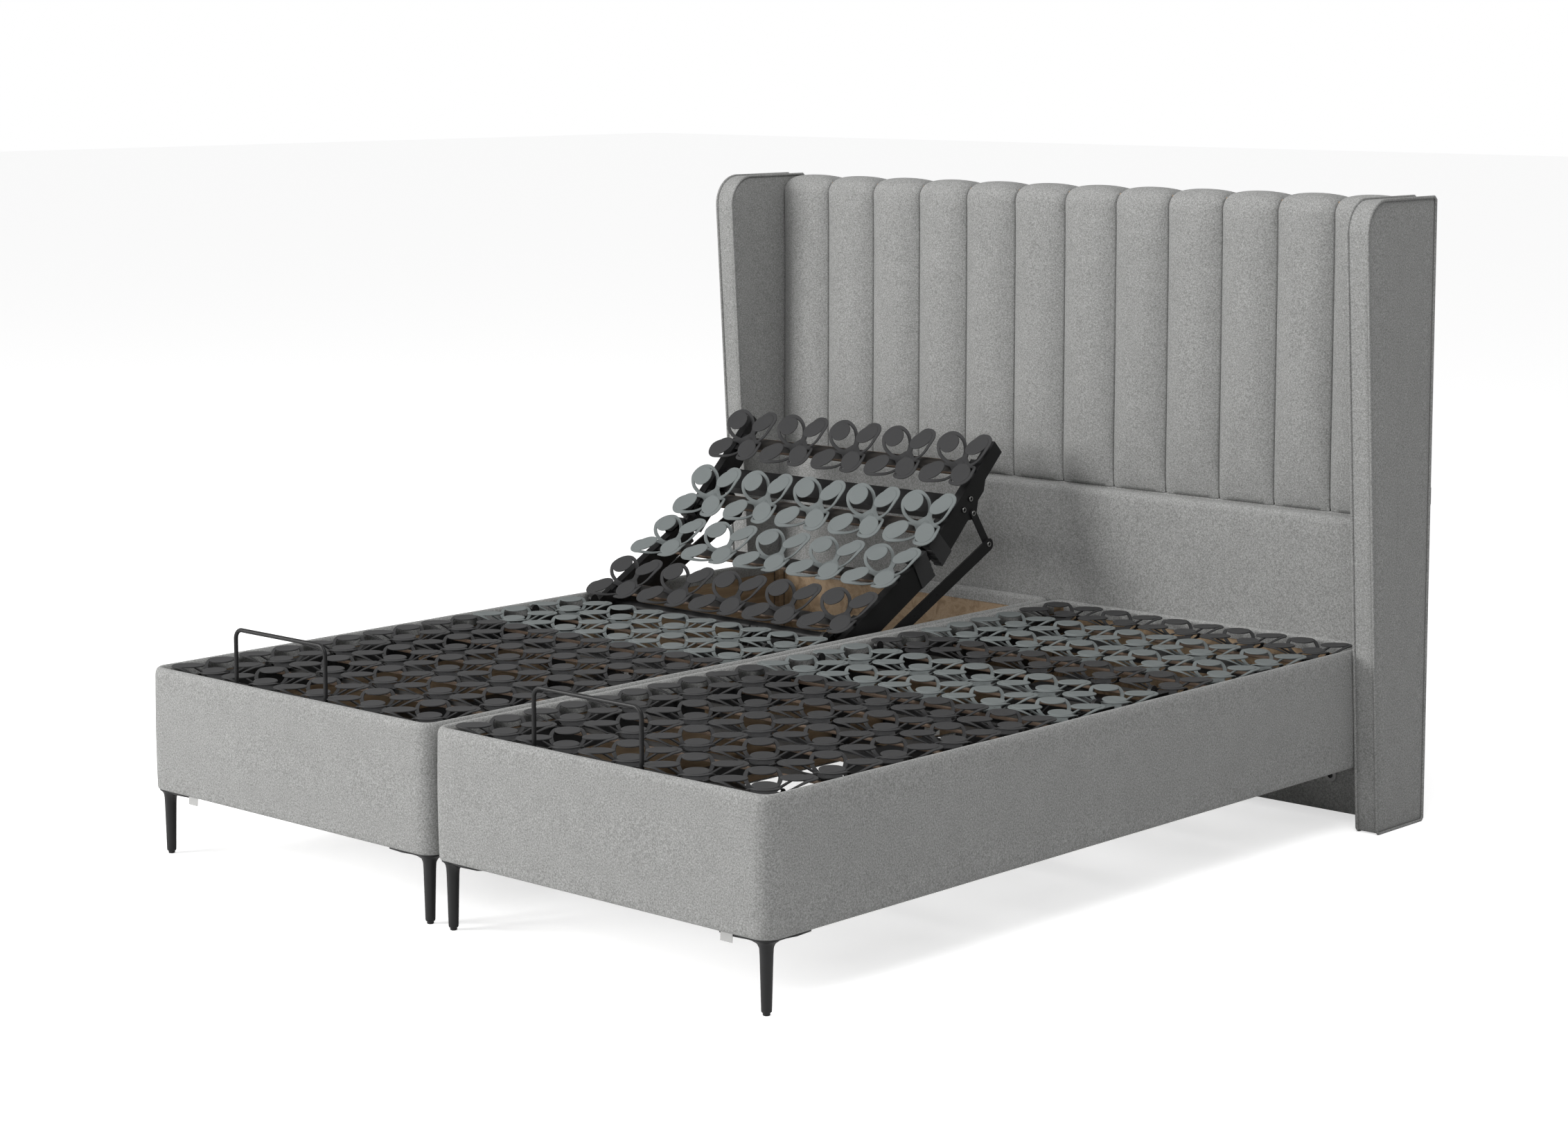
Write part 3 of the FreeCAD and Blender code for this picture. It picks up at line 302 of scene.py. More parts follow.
def laminate_edge(name):
    """Edges of thin glued plies, seen as brown and dark lines."""
    edge = Finish(name, roughness=0.55, specular=0.3)
    grain = edge.noise(5.0, detail=4, place=edge.stretched(3, 60, 60))
    tone = edge.ramp(grain, [(0.3, (0.105, 0.078, 0.058)), (0.5, (0.155, 0.118, 0.089)),
                             (0.7, (0.205, 0.158, 0.12))])
    plies = edge.noise(3.0, detail=0, place=edge.stretched(0.2, 1, 260))
    edge.colour(edge.blend(edge.spread(plies, 0.0, 0.7), tone, (0.09, 0.045, 0.022)))
    edge.bump(grain, 0.0003, 0.3)
    return edge.material


def slat_foil(name):
    """Black foil over beech, with the grain just showing through."""
    foil = Finish(name, roughness=0.36, specular=0.5)
    grain = foil.noise(4.0, detail=4, roughness=0.6, place=foil.stretched(2, 70, 70))
    foil.colour(foil.blend(grain, (0.012, 0.011, 0.010), (0.034, 0.030, 0.027)))
    foil.roughness(foil.spread(grain, 0.3, 0.46))
    foil.bump(grain, 0.0002, 0.3)
    return foil.material


def plain_steel(name):
    """Turned or rolled steel with fine marks."""
    tone = (0.5, 0.5, 0.49)
    steel = Finish(name, roughness=0.3, metallic=1.0)
    marks = steel.noise(60, detail=3, place=steel.stretched(1, 14, 14))
    steel.colour(steel.blend(marks, shaded(tone, 0.8), tone))
    steel.roughness(steel.spread(marks, 0.22, 0.42))
    return steel.material


def woven_tag(name, tone):
    """Narrow satin ribbon."""
    ribbon = Finish(name, roughness=0.6, specular=0.3, sheen=0.1)
    threads = ribbon.node("ShaderNodeTexWave", Vector=ribbon.place, Scale=900.0, Distortion=1.0)
    ribbon.colour(ribbon.blend(threads.outputs["Fac"], shaded(tone, 0.85), tone))
    ribbon.bump(threads.outputs["Fac"], 0.0001, 0.3)
    return ribbon.material


MATERIALS = {
    "fabric": melange_fabric("melange_fabric"),
    "piping": melange_fabric("piping_fabric", 0.97),
    "lining": melange_fabric("back_lining_fabric", 0.45),
    "side_wood": wood("board_wood_long", [(0.20, 0.135, 0.078), (0.29, 0.20, 0.12), (0.36, 0.26, 0.165)], 1),
    "end_wood": wood("board_wood_cross", [(0.26, 0.165, 0.09), (0.37, 0.245, 0.14), (0.45, 0.315, 0.19)], 0),
    "black_steel": powder_coat("black_powder_coat"),
    "leg_steel": powder_coat("leg_powder_coat", (0.011, 0.011, 0.0115)),
    "light_module": moulded_plastic("light_module_plastic", (0.148, 0.163, 0.163), 0.46, specular=0.12),
    "dark_module": moulded_plastic("dark_module_plastic", (0.041, 0.041, 0.042), 0.46, specular=0.12),
    "grey_plastic": moulded_plastic("hinge_block_plastic", (0.036, 0.036, 0.037), 0.62, texture=0.5),
    "black_plastic": moulded_plastic("black_housing_plastic", (0.014, 0.014, 0.015), 0.45, texture=0.4),
    "slat_foil": slat_foil("slat_black_foil"),
    "laminate": laminate_edge("slat_laminate_edge"),
    "steel": plain_steel("plain_steel"),
    "bolt_cap": powder_coat("grey_bolt_cap", (0.2, 0.2, 0.2)),
    "light_tag": woven_tag("light_tag_ribbon", (0.4, 0.4, 0.395)),
    "dark_tag": woven_tag("dark_tag_ribbon", (0.035, 0.035, 0.036)),
}


# ---------------- mesh helpers

def circle(steps):
    """Angles of evenly spaced points round a circle."""
    return [2 * math.pi * step / steps for step in range(steps)]


def directions(path):
    """Direction of travel at each point of a closed path."""
    return [(path[(index + 1) % len(path)] - path[index - 1]).normalized() for index in range(len(path))]


class Shape:
    """Vertices and faces of one mesh, gathered piece by piece."""

    def __init__(self):
        self.verts, self.faces, self.slots = [], [], []

    def face(self, indices):
        self.faces.append(tuple(indices))
        self.slots.append(0)

    def loft(self, rings, looped=False):
        """Closed rings of equal length joined one to the next; looped joins the last to the first."""
        start, count = len(self.verts), len(rings[0])
        for ring in rings:
            self.verts += [Vector(point) for point in ring]
        steps = len(rings) if looped else len(rings) - 1
        for step in range(steps):
            near, far = start + step * count, start + (step + 1) % len(rings) * count
            for index in range(count):
                after = (index + 1) % count
                self.face((near + index, near + after, far + after, far + index))
        if not looped:
            self.face(range(start + count - 1, start - 1, -1))
            last = start + (len(rings) - 1) * count
            self.face(range(last, last + count))

    def cord_loop(self, path, radius):
        """Round cord along a closed path of points in an upright plane along the bed."""
        rings = []
        for point, direction in zip(path, directions(path)):
            side = direction.cross(Vector((1, 0, 0))).normalized()
            other = direction.cross(side)
            rings.append([point + radius * (math.cos(turn) * side + math.sin(turn) * other)
                          for turn in circle(10)])
        self.loft(rings, looped=True)

    def lathe(self, profile, sides=24, centre=(0, 0, 0), axis="z"):
        """Profile of (radius, height) pairs turned about an axis."""
        rings = []
        for radius, height in profile:
            ring = []
            for turn in circle(sides):
                a, b = radius * math.cos(turn), radius * math.sin(turn)
                offset = {"z": (a, b, height), "y": (b, height, a), "x": (height, a, b)}[axis]
                ring.append(Vector(centre) + Vector(offset))
            rings.append(ring)
        self.loft(rings)

    def add(self, other, matrix):
        start = len(self.verts)
        self.verts += [matrix @ point for point in other.verts]
        self.faces += [tuple(index + start for index in face) for face in other.faces]
        self.slots += other.slots

    def build(self, name, materials, smooth_angle=40):
        mesh = bpy.data.meshes.new(name)
        mesh.from_pydata([tuple(point) for point in self.verts], [], self.faces)
        for material in materials:
            mesh.materials.append(MATERIALS[material])
        mesh.polygons.foreach_set("material_index", self.slots)
        work = bmesh.new()
        work.from_mesh(mesh)
        bmesh.ops.recalc_face_normals(work, faces=work.faces)
        work.to_mesh(mesh)
        work.free()
        smooth(mesh, smooth_angle)
        return link(name, mesh)


def smooth(mesh, angle):
    """Smooth shading, with edges sharper than the angle kept crisp."""
    mesh.polygons.foreach_set("use_smooth", [True] * len(mesh.polygons))
    mesh.set_sharp_from_angle(angle=math.radians(angle))


def lofted(name, rings, material, smooth_angle, looped=False):
    """Piece made of one loft in one material."""
    shape = Shape()
    shape.loft(rings, looped)
    return shape.build(name, [material], smooth_angle)


def finish_piece(item, body, slot, *replaced):
    """Rides the piece on its body and hides the CAD nodes that it stands for."""
    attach(item, body)
    if replaced:
        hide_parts(*replaced)
    return item


def joined_copy(node):
    """The node's CAD mesh as a bmesh, with split corners joined."""
    work = bmesh.new()
    work.from_mesh(frame["nodes"][node].data)
    bmesh.ops.remove_doubles(work, verts=work.verts, dist=1e-5)
    return work


def connected(work):
    """Separate solids in a bmesh, each as its corner points and its faces."""
    found, seen = [], set()
    for start in work.verts:
        if start in seen:
            continue
        stack, points, faces = [start], [], set()
        seen.add(start)
        while stack:
            vertex = stack.pop()
            points.append(vertex.co.copy())
            faces.update(vertex.link_faces)
            for edge in vertex.link_edges:
                other = edge.other_vert(vertex)
                if other not in seen:
                    seen.add(other)
                    stack.append(other)
        found.append((points, faces))
    return found


def islands(node):
    """Separate solids of a CAD node, each as a list of its corner points."""
    work = joined_copy(node)
    found = [solid[0] for solid in connected(work)]
    work.free()
    return found


def rounded_copy(node, body, slot, materials, width):
    """The node's own shape with its edges rounded off, as a new piece that stands for the node.
    A second material goes on the solids that are longer across the bed than along it."""
    work = joined_copy(node)
    bmesh.ops.dissolve_limit(work, angle_limit=math.radians(0.8), verts=work.verts, edges=work.edges)
    mesh = bpy.data.meshes.new(f"{node}_rounded")
    for points, faces in connected(work):
        low, high = box_of(points)
        crosswise = high.x - low.x > high.y - low.y
        for face in faces:
            face.material_index = 1 if crosswise and len(materials) > 1 else 0
    work.to_mesh(mesh)
    work.free()
    mesh.materials.clear()
    for material in materials:
        mesh.materials.append(MATERIALS[material])
    smooth(mesh, 35)
    item = link(f"{node}_rounded", mesh)
    configure(item.modifiers.new("rounded_edges", "BEVEL"), width=width, segments=2, limit_method="ANGLE",
              angle_limit=math.radians(38), use_clamp_overlap=True, harden_normals=True)
    return finish_piece(item, body, slot, node)


def box_of(points):
    low = Vector([min(point[axis] for point in points) for axis in range(3)])
    high = Vector([max(point[axis] for point in points) for axis in range(3)])
    return low, high


def turn_of(side, section):
    """Turn of a section at rest: its joint's lower limit lies flat."""
    back = -JOINTS[f"{side}_back_hinge"]["range_deg"][0]
    angles = {"back": back, "neck": back * (1 + RATIOS[f"{side}_neck_hinge"])}
    return Matrix.Rotation(math.radians(angles.get(section, 0.0)), 4, "X")


# ---------------- spring modules

PETAL_REACH, PETAL_HALF, PETAL_SIDE = 59.5 * MM, 31 * MM, 25.5 * MM
MODULE_TOP = 35.6 * MM
LOOP_CENTRE, LOOP_HALF, LOOP_SIDE = 53 * MM, 39.2 * MM, 32.6 * MM


def paddle(shape):
    """Oval pressure plate with a soft rim and a very shallow dish."""
    rims = [(0.90, -3.0), (0.975, -2.7), (1.0, -1.9), (1.0, -1.0), (0.985, -0.35), (0.955, 0.0),
            (0.80, -0.15), (0.45, -0.35)]
    shape.loft([[(PETAL_REACH + grow * PETAL_HALF * math.cos(turn), grow * PETAL_SIDE * math.sin(turn),
                  MODULE_TOP + drop * MM) for turn in circle(32)] for grow, drop in rims])


def flat_bar(half, thick, soft):
    """Section of a flat band with soft edges, as (across, up) pairs."""
    return [(-half, 0), (-half + soft, thick), (half - soft, thick), (half, 0),
            (half - soft, -thick), (-half + soft, -thick)]


def loop_band(shape):
    """Flat band that climbs from the hub round the paddle and ends in a level crescent outside it."""
    centres, widths = [], []
    for turn in circle(48):
        outward, sideways = math.cos(turn), math.sin(turn)
        radial = LOOP_CENTRE + LOOP_HALF * outward
        across = LOOP_SIDE * sideways * (1 - 0.14 * max(0.0, -outward))
        climb = min(max((radial - 13 * MM) / (67 * MM), 0.0), 1.0)
        climb = 0.6 * climb + 0.4 * climb * climb * (3 - 2 * climb)
        centres.append(Vector((radial, across, 4.7 * MM + (MODULE_TOP - 6.9 * MM) * climb)))
        widths.append((4.5 + 2.6 * max(0.0, outward) ** 3 + 2.4 * max(0.0, -outward) ** 5) * MM)
    rings = []
    for centre, half, direction in zip(centres, widths, directions(centres)):
        side = direction.cross(Vector((0, 0, 1))).normalized()
        up = side.cross(direction)
        rings.append([centre + side * a + up * b for a, b in flat_bar(half, 1.3 * MM, 0.8 * MM)])
    shape.loft(rings, looped=True)


def neck_plate(shape):
    """Short web that joins a loop to the hub and spreads into its two arms."""
    rings = []
    for radial, half, height, thick in ((6, 7.5, 4.6, 1.9), (12, 6.6, 4.9, 1.7), (17, 7.4, 5.4, 1.5),
                                        (21, 10.2, 6.2, 1.3), (23.5, 12.4, 7.0, 1.1)):
        rings.append([(radial * MM, a * MM, (height + b) * MM) for a, b in flat_bar(half, thick, 0.8)])
    shape.loft(rings)


def spring_module():
    """Whole module about the centre of its foot: a domed hub and four petals on the diagonals."""
    petal = Shape()
    paddle(petal)
    loop_band(petal)
    neck_plate(petal)
    whole = Shape()
    hub = [(12.5, 0.2), (14.4, 1.2), (14.4, 5.2), (13.2, 6.8), (10.6, 7.6), (10.0, 7.0), (9.3, 7.7),
           (5.0, 8.6), (1.5, 8.8)]
    whole.lathe([(radius * MM, height * MM) for radius, height in hub], sides=20)
    for quarter in range(4):
        whole.add(petal, Matrix.Rotation(math.radians(45 + 90 * quarter), 4, "Z"))
    return whole


MODULE = spring_module()
MODULE_TONES = {"neck": ["light", "dark"], "back": ["dark", "light"], "thigh": ["dark", "light"],
                "calf": ["dark"] * 4}


def module_rows(node, turn):
    """Feet of the modules in a node, grouped into rows from the foot end to the head end."""
    back = turn.inverted()
    feet = []
    for points in islands(node):
        low, high = box_of([back @ point for point in points])
        feet.append(Vector(((low.x + high.x) / 2, (low.y + high.y) / 2, low.z)))
    rows = []
    for foot in sorted(feet, key=lambda point: point.y):
        if rows and abs(rows[-1][-1].y - foot.y) < 20 * MM:
            rows[-1].append(foot)
        else:
            rows.append([foot])
    return rows


def add_modules(side, section):
    """One piece for each row of modules in a folding section."""
    node = f"{side}_{section}_modules"
    turn = turn_of(side, section)
    for number, (row, tone) in enumerate(zip(module_rows(node, turn), MODULE_TONES[section]), start=1):
        shape = Shape()
        for foot in row:
            shape.add(MODULE, turn @ Matrix.Translation(foot))
        item = shape.build(f"{side}_{section}_module_row_{number}", [f"{tone}_module"], 42)
        finish_piece(item, f"{side}_{section}", f"module_{tone}", node)


def seat_modules():
    """The fixed row of both bases."""
    for row in module_rows("seat_modules", Matrix.Identity(4)):
        for side, sign in (("left", -1), ("right", 1)):
            shape = Shape()
            for foot in row:
                if foot.x * sign > 0:
                    shape.add(MODULE, Matrix.Translation(foot))
            item = shape.build(f"{side}_seat_module_row", ["light_module"], 42)
            finish_piece(item, ROOT, "module_light", "seat_modules")


# ---------------- slats

def slat_shape(low, high):
    """Bent-glued slat with half-round long edges: black foil above and below, plies showing at the edge."""
    shape = Shape()
    middle = (low + high) / 2
    half_width, half_thick = (high.y - low.y) / 2, (high.z - low.z) / 2
    round_off = 2.6 * MM
    corner = [(0, 1), (0.4, 0.35), (1, 0)]
    section = []
    for across, up in ((-1, 1), (1, 1), (1, -1), (-1, -1)):
        for inward, down in corner if across * up < 0 else reversed(corner):
            section.append((across * (half_width - round_off * inward), up * (half_thick - round_off * down)))
    stations = [low.x + 0.3 * MM, low.x + 2 * MM, high.x - 2 * MM, high.x - 0.3 * MM]
    shrinks = [0.94, 1.0, 1.0, 0.94]
    rings = [[(x, middle.y + a * shrink, middle.z + b * shrink) for a, b in section]
             for x, shrink in zip(stations, shrinks)]
    shape.loft(rings)
    foil_sides = {2, 8}  # the flat faces above and below
    count = len(section)
    for index in range(len(shape.faces)):
        shape.slots[index] = 0 if index < 3 * count and index % count in foil_sides else 1
    return shape


def add_slats(node, body, turn):
    """The slats of one section as one piece."""
    back = turn.inverted()
    shape = Shape()
    for points in islands(node):
        low, high = box_of([back @ point for point in points])
        shape.add(slat_shape(low, high), turn)
    item = shape.build(f"{node}_laminated", ["slat_foil", "laminate"], 30)
    finish_piece(item, body, "slat", node)


# ---------------- upholstered boxes

def rounded_rectangle(low, high, radius, inset, height):
    """Points round a rectangle with rounded corners, pulled in by the inset."""
    corner = max(radius - inset, 2 * MM)
    left, right = low.x + inset, high.x - inset
    near, far = low.y + inset, high.y - inset
    centres = [((right - corner, near + corner), -90), ((right - corner, far - corner), 0),
               ((left + corner, far - corner), 90), ((left + corner, near + corner), 180)]
    corners, points = 10, []
    sides = [44, 20, 44, 20]
    for number, ((centre, start), straight) in enumerate(zip(centres, sides)):
        for step in range(corners + 1):
            turn = math.radians(start + 90 * step / corners)
            points.append((centre[0] + corner * math.cos(turn), centre[1] + corner * math.sin(turn), height))
        (goal_x, goal_y), goal_angle = centres[(number + 1) % 4]
        turn = math.radians(goal_angle)
        last = points[-1]
        goal = (goal_x + corner * math.cos(turn), goal_y + corner * math.sin(turn), height)
        for step in range(1, straight):
            share = step / straight
            points.append(tuple(a + (b - a) * share for a, b in zip(last, goal)))
    return points


def ripple(point, size, seed):
    """Smooth unevenness of cloth over foam, a signed share of one."""
    return noise.noise(Vector(point) * size + Vector((seed, seed * 0.7, -seed)))


def box_cover(side, seed):
    """Fabric sleeve: soft hem below, slightly full sides, rolled rim and a flap inside the boards."""
    low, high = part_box(f"{side}_box_cover")
    centre_x = (low.x + high.x) / 2
    low.x, high.x = centre_x - BASE_HALF_WIDTH, centre_x + BASE_HALF_WIDTH
    bottom, top, board_top = low.z, high.z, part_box("box_boards")[1].z + 0.3 * MM
    profile = [(19.4, bottom + 3.6 * MM), (19.2, bottom + 0.9 * MM), (16, bottom), (6, bottom - 0.4 * MM),
               (1.9, bottom + 1.1 * MM), (0.3, bottom + 4.5 * MM), (0.0, bottom + 12 * MM)]
    rise = top - bottom
    for share in (0.12, 0.2, 0.3, 0.4, 0.5, 0.6, 0.7, 0.8, 0.88):
        profile.append((-1.6 * math.sin(math.pi * share), bottom + rise * share))
    profile += [(-0.4, top - 17 * MM), (0.5, top - 9.5 * MM), (3.4, top - 3.4 * MM), (8.2, top - 0.2 * MM),
                (13.2, top - 0.4 * MM), (17.8, top - 3.2 * MM), (20.6, top - 8.5 * MM),
                (21.4, top - 16 * MM), (21.4, top - 30 * MM), (20.2, top - 30 * MM), (20.1, board_top),
                (6.0, board_top), (6.0, bottom + 4.0 * MM), (12.0, bottom + 4.1 * MM)]
    hem_ring, upper_ring, rim_ring = 3, 15, 22
    rings = []
    for number, (inset, height) in enumerate(profile):
        ring = rounded_rectangle(low, high, BOX_CORNER, inset * MM, height)
        soft = []
        for point in ring:
            point = Vector(point)
            if hem_ring <= number <= rim_ring:
                away = Vector((point.x - centre_x, (point.y - (low.y + high.y) / 2) * 0.45, 0)).normalized()
                point += away * 0.9 * MM * ripple(point, 5.0, seed)
                point.z += 0.5 * MM * ripple(point, 9.0, seed + 3) * (number >= upper_ring)
            soft.append(point)
        rings.append(soft)
    item = lofted(f"{side}_box_upholstery", rings, "fabric", 60, looped=True)
    finish_piece(item, ROOT, "upholstery", f"{side}_box_cover")


# ---------------- headboard

def superellipse(share, power, root):
    """Crown across a channel: zero at both seams, one in the middle."""
    return max(0.0, 1 - abs(2 * share - 1) ** power) ** (1 / root)


def channel_paths(low, high):
    """Side views of a channel along its crest and along its seams, from the bottom seam to the back edge."""
    crest, seam = [], []
    front, back, bottom, top = low.y + 1.5 * MM, high.y, low.z, high.z
    seam_front, roll_start = front + SEAM_DEPTH, top - ROLL_DROP
    rise, turns = 30, 10
    for step in range(rise + 1):
        share = step / rise
        pinch = math.exp(-share * 14)
        height = bottom + (roll_start - bottom) * share
        crest.append((front + 19 * MM * pinch, height))
        seam.append((seam_front + 2 * MM * pinch, height))
    for step in range(1, turns + 1):
        turn = math.radians(90 * step / turns)
        over, up = 1 - math.cos(turn), math.sin(turn)
        crest.append((front + CHANNEL_ROLL * over, roll_start + (CHANNEL_ROLL + 1 * MM) * up))
        seam.append((seam_front + SEAM_ROLL * over, roll_start + SEAM_ROLL * up))
    crest_y, seam_y = front + CHANNEL_ROLL, seam_front + SEAM_ROLL
    for share in (0.3, 0.6, 0.85, 1.0):
        crest.append((crest_y + (back - crest_y) * share, top - 1 * MM - 5 * MM * share ** 3))
        seam.append((seam_y + (back - seam_y) * share, top - 18 * MM + 1 * MM * share))
    return crest, seam


def channel_pad(low, high, left, right, seed):
    """Closed pad of one channel, with its back against the board."""
    crest, seam = channel_paths(low, high)
    core_low, core_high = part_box("headboard_core")
    board_front, board_top = core_low.y - 0.4 * MM, core_high.z + 0.4 * MM
    inner = [(high.y, board_top), (board_front + 30 * MM, board_top), (board_front, board_top),
             (board_front, board_top - 200 * MM), (board_front, board_top - 450 * MM), (board_front, low.z)]
    columns = 18
    rings = []
    for column in range(columns + 1):
        share = 0.5 - 0.5 * math.cos(math.pi * column / columns)
        crown = superellipse(share, 2.4, 1.9)
        x = left + (right - left) * share
        ring = []
        for (crest_y, crest_z), (seam_y, seam_z) in zip(crest, seam):
            y = seam_y + (crest_y - seam_y) * crown
            z = seam_z + (crest_z - seam_z) * crown
            y += 1.1 * MM * crown * ripple((x, 0, z), 7.0, seed)
            ring.append((x, y, z))
        ring += [(x, y, z) for y, z in inner]
        rings.append(ring)
    shape = Shape()
    shape.loft(rings)
    return shape, len(crest), len(inner), columns


def puff(item, pinned, pressure, cap, frames=16):
    """Inflate a closed pad with cloth simulation, its pinned points held, and keep the result."""
    group = item.vertex_groups.new(name="held")
    group.add(pinned, 1.0, "REPLACE")
    modifier = item.modifiers.new("puff", "CLOTH")
    settings = configure(modifier.settings, vertex_group_mass="held", quality=5, mass=0.25,
                         tension_stiffness=22, compression_stiffness=22, bending_stiffness=0.6,
                         use_pressure=True, uniform_pressure_force=pressure)
    settings.effector_weights.gravity = 0
    modifier.collision_settings.use_collision = False
    configure(modifier.point_cache, frame_start=1, frame_end=frames)
    scene = bpy.context.scene
    for step in range(1, frames + 1):
        scene.frame_set(step)
    depsgraph = bpy.context.evaluated_depsgraph_get()
    moved = item.evaluated_get(depsgraph).data
    places = [vertex.co.copy() for vertex in moved.vertices]
    for vertex, place in zip(item.data.vertices, places):
        shift = place - vertex.co
        if shift.length > cap:
            shift *= cap / shift.length
        vertex.co += shift
    item.modifiers.remove(modifier)
    item.vertex_groups.remove(group)
    scene.frame_set(1)


def headboard_channels():
    """Twelve upright padded channels from one inflated pattern, each a little different."""
    low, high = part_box("headboard_channels")
    pitch = (high.x - low.x) / CHANNEL_COUNT
    random.seed(7)
    base, outer, inner, columns = channel_pad(low, high, 0.35 * MM, pitch - 0.35 * MM, 1.3)
    pattern = base.build("channel_pattern", ["fabric"], 75)
    ring = outer + inner
    held = [column * ring + index for column in range(columns + 1) for index in range(ring)
            if column in (0, columns) or index == 0 or index >= outer - 1]
    puff(pattern, held, 5.0, 5 * MM)
    points = [vertex.co.copy() for vertex in pattern.data.vertices]
    bpy.data.objects.remove(pattern)
    for number in range(CHANNEL_COUNT):
        shape = Shape()
        mirror = number % 2 == 1
        shape.faces, shape.slots = list(base.faces), list(base.slots)
        start = low.x + number * pitch
        fullness = random.uniform(-0.6, 0.9) * MM
        for index, point in enumerate(points):
            x = pitch - point.x if mirror else point.x
            share = x / pitch
            extra = ripple((start + x, 0.3, point.z), 6.0, number * 1.7) * 1.2 * MM - fullness
            depth = extra * superellipse(share, 2, 1) if index % ring < outer - 5 else 0
            shape.verts.append(Vector((start + x, point.y + depth, point.z)))
        item = shape.build(f"headboard_channel_{number + 1:02d}", ["fabric"], 75)
        configure(item.modifiers.new("smooth_surface", "SUBSURF"), levels=1, render_levels=1)
        finish_piece(item, ROOT, "upholstery", "headboard_channels")


def lower_panel():
    """Flat padded panel under the channels: pinched at the seam above, rolled under at the hem."""
    low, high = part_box("headboard_lower_panel")
    front, back = low.y, high.y
    rings = []
    columns = 60
    for column in range(columns + 1):
        share = column / columns
        x = low.x + (high.x - low.x) * share
        edge = min(share, 1 - share) * (high.x - low.x)
        tuck = 5 * MM * math.exp(-edge / (9 * MM))
        ring = []
        for height, depth in ((0.0, 9.0), (1.5, 4.0), (6.0, 1.2), (14.0, 0.3)):
            ring.append((x, front + depth * MM + tuck, low.z + height * MM))
        rise = high.z - low.z
        for step in range(1, 22):
            z = low.z + 14 * MM + (rise - 34 * MM) * step / 22
            soft = 0.8 * MM * ripple((x, 0, z), 3.5, 5.0) - 0.7 * MM
            ring.append((x, front + 0.8 * MM + soft + tuck, z))
        for height, depth in ((20.0, 0.4), (12.0, 1.6), (6.0, 4.5), (2.5, 9.0), (0.4, 17.0)):
            ring.append((x, front + depth * MM + tuck, high.z - height * MM))
        ring += [(x, back - 0.4 * MM, z) for z in (high.z - 0.4 * MM, (low.z + high.z) / 2, low.z)]
        rings.append(ring)
    item = lofted("headboard_lower_pad", rings, "fabric", 60)
    finish_piece(item, ROOT, "upholstery", "headboard_lower_panel")
    seam = [[(x, back - 6.2 * MM + 6 * MM * math.cos(turn), high.z + 5 * MM * math.sin(turn))
             for turn in circle(12)] for x in (low.x, high.x)]
    strip = lofted("headboard_seam_strip", seam, "piping", 60)
    finish_piece(strip, ROOT, "upholstery", "headboard_lower_panel")


def back_lining():
    """Thin woven dust cover over the back of the board: a flat sheet with a turned, stapled hem."""
    low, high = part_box("headboard_core")
    inset, hem = 5 * MM, 14 * MM
    columns, rows = 64, 40
    rings = []

    def spaced(start, end, step, steps):
        """Even steps, closer together near both ends."""
        return start + inset + (end - start - 2 * inset) * (0.5 - 0.5 * math.cos(math.pi * step / steps))

    for column in range(columns + 1):
        x = spaced(low.x, high.x, column, columns)
        from_side = min(x - low.x, high.x - x) - inset
        ring = []
        for row in range(rows + 1):
            z = spaced(low.z, high.z, row, rows)
            edge = min(from_side, z - low.z - inset, high.z - inset - z)
            folded = 1.0 * MM if edge < hem else 0.0
            wrinkle = 0.35 * MM * ripple((x, 0.4, z), 4.0, 2.0) if edge >= hem else 0.0
            ring.append((x, high.y + 1.0 * MM + folded + wrinkle, z))
        ring += [(x, high.y + 0.1 * MM, high.z - inset), (x, high.y + 0.1 * MM, low.z + inset)]
        rings.append(ring)
    finish_piece(lofted("headboard_back_lining", rings, "lining", 60), ROOT, "upholstery")


def wing_front(height, low, high):
    """Front edge of a wing at a height: a straight lean, then a rounded upper corner."""
    front_low = low.y + (high.z - low.z) * WING_LEAN - 4.5 * MM
    straight = front_low - (height - low.z) * WING_LEAN
    above = height - (high.z - WING_CORNER)
    if above <= 0:
        return straight
    return straight + WING_CORNER - math.sqrt(max(WING_CORNER ** 2 - above ** 2, 0.0))


def wing_outline(low, high):
    """Side view of a wing as a closed list of (y, z): up the front, round the corner, back and down."""
    points = [(wing_front(low.z + 6 * MM, low, high) + 6 * MM, low.z)]
    straight = 26
    for step in range(straight + 1):
        z = low.z + 6 * MM + (high.z - WING_CORNER - 6 * MM - low.z) * step / straight
        points.append((wing_front(z, low, high), z))
    base = wing_front(high.z - WING_CORNER, low, high)
    for step in range(1, 13):
        turn = math.radians(90 * step / 12)
        over, down = 1 - math.cos(turn), 1 - math.sin(turn)
        points.append((base + WING_CORNER * over, high.z - WING_CORNER * down))
    last = points[-1][0]
    for share in (0.25, 0.5, 0.75, 0.97):
        points.append((last + (high.y - last) * share, high.z))
    points += [(high.y, high.z - 5 * MM)]
    for share in (0.2, 0.4, 0.6, 0.8):
        points.append((high.y, high.z + (low.z - high.z) * share))
    points += [(high.y, low.z + 5 * MM), (high.y - 5 * MM, low.z), ((high.y + points[0][0]) / 2, low.z)]
    return points


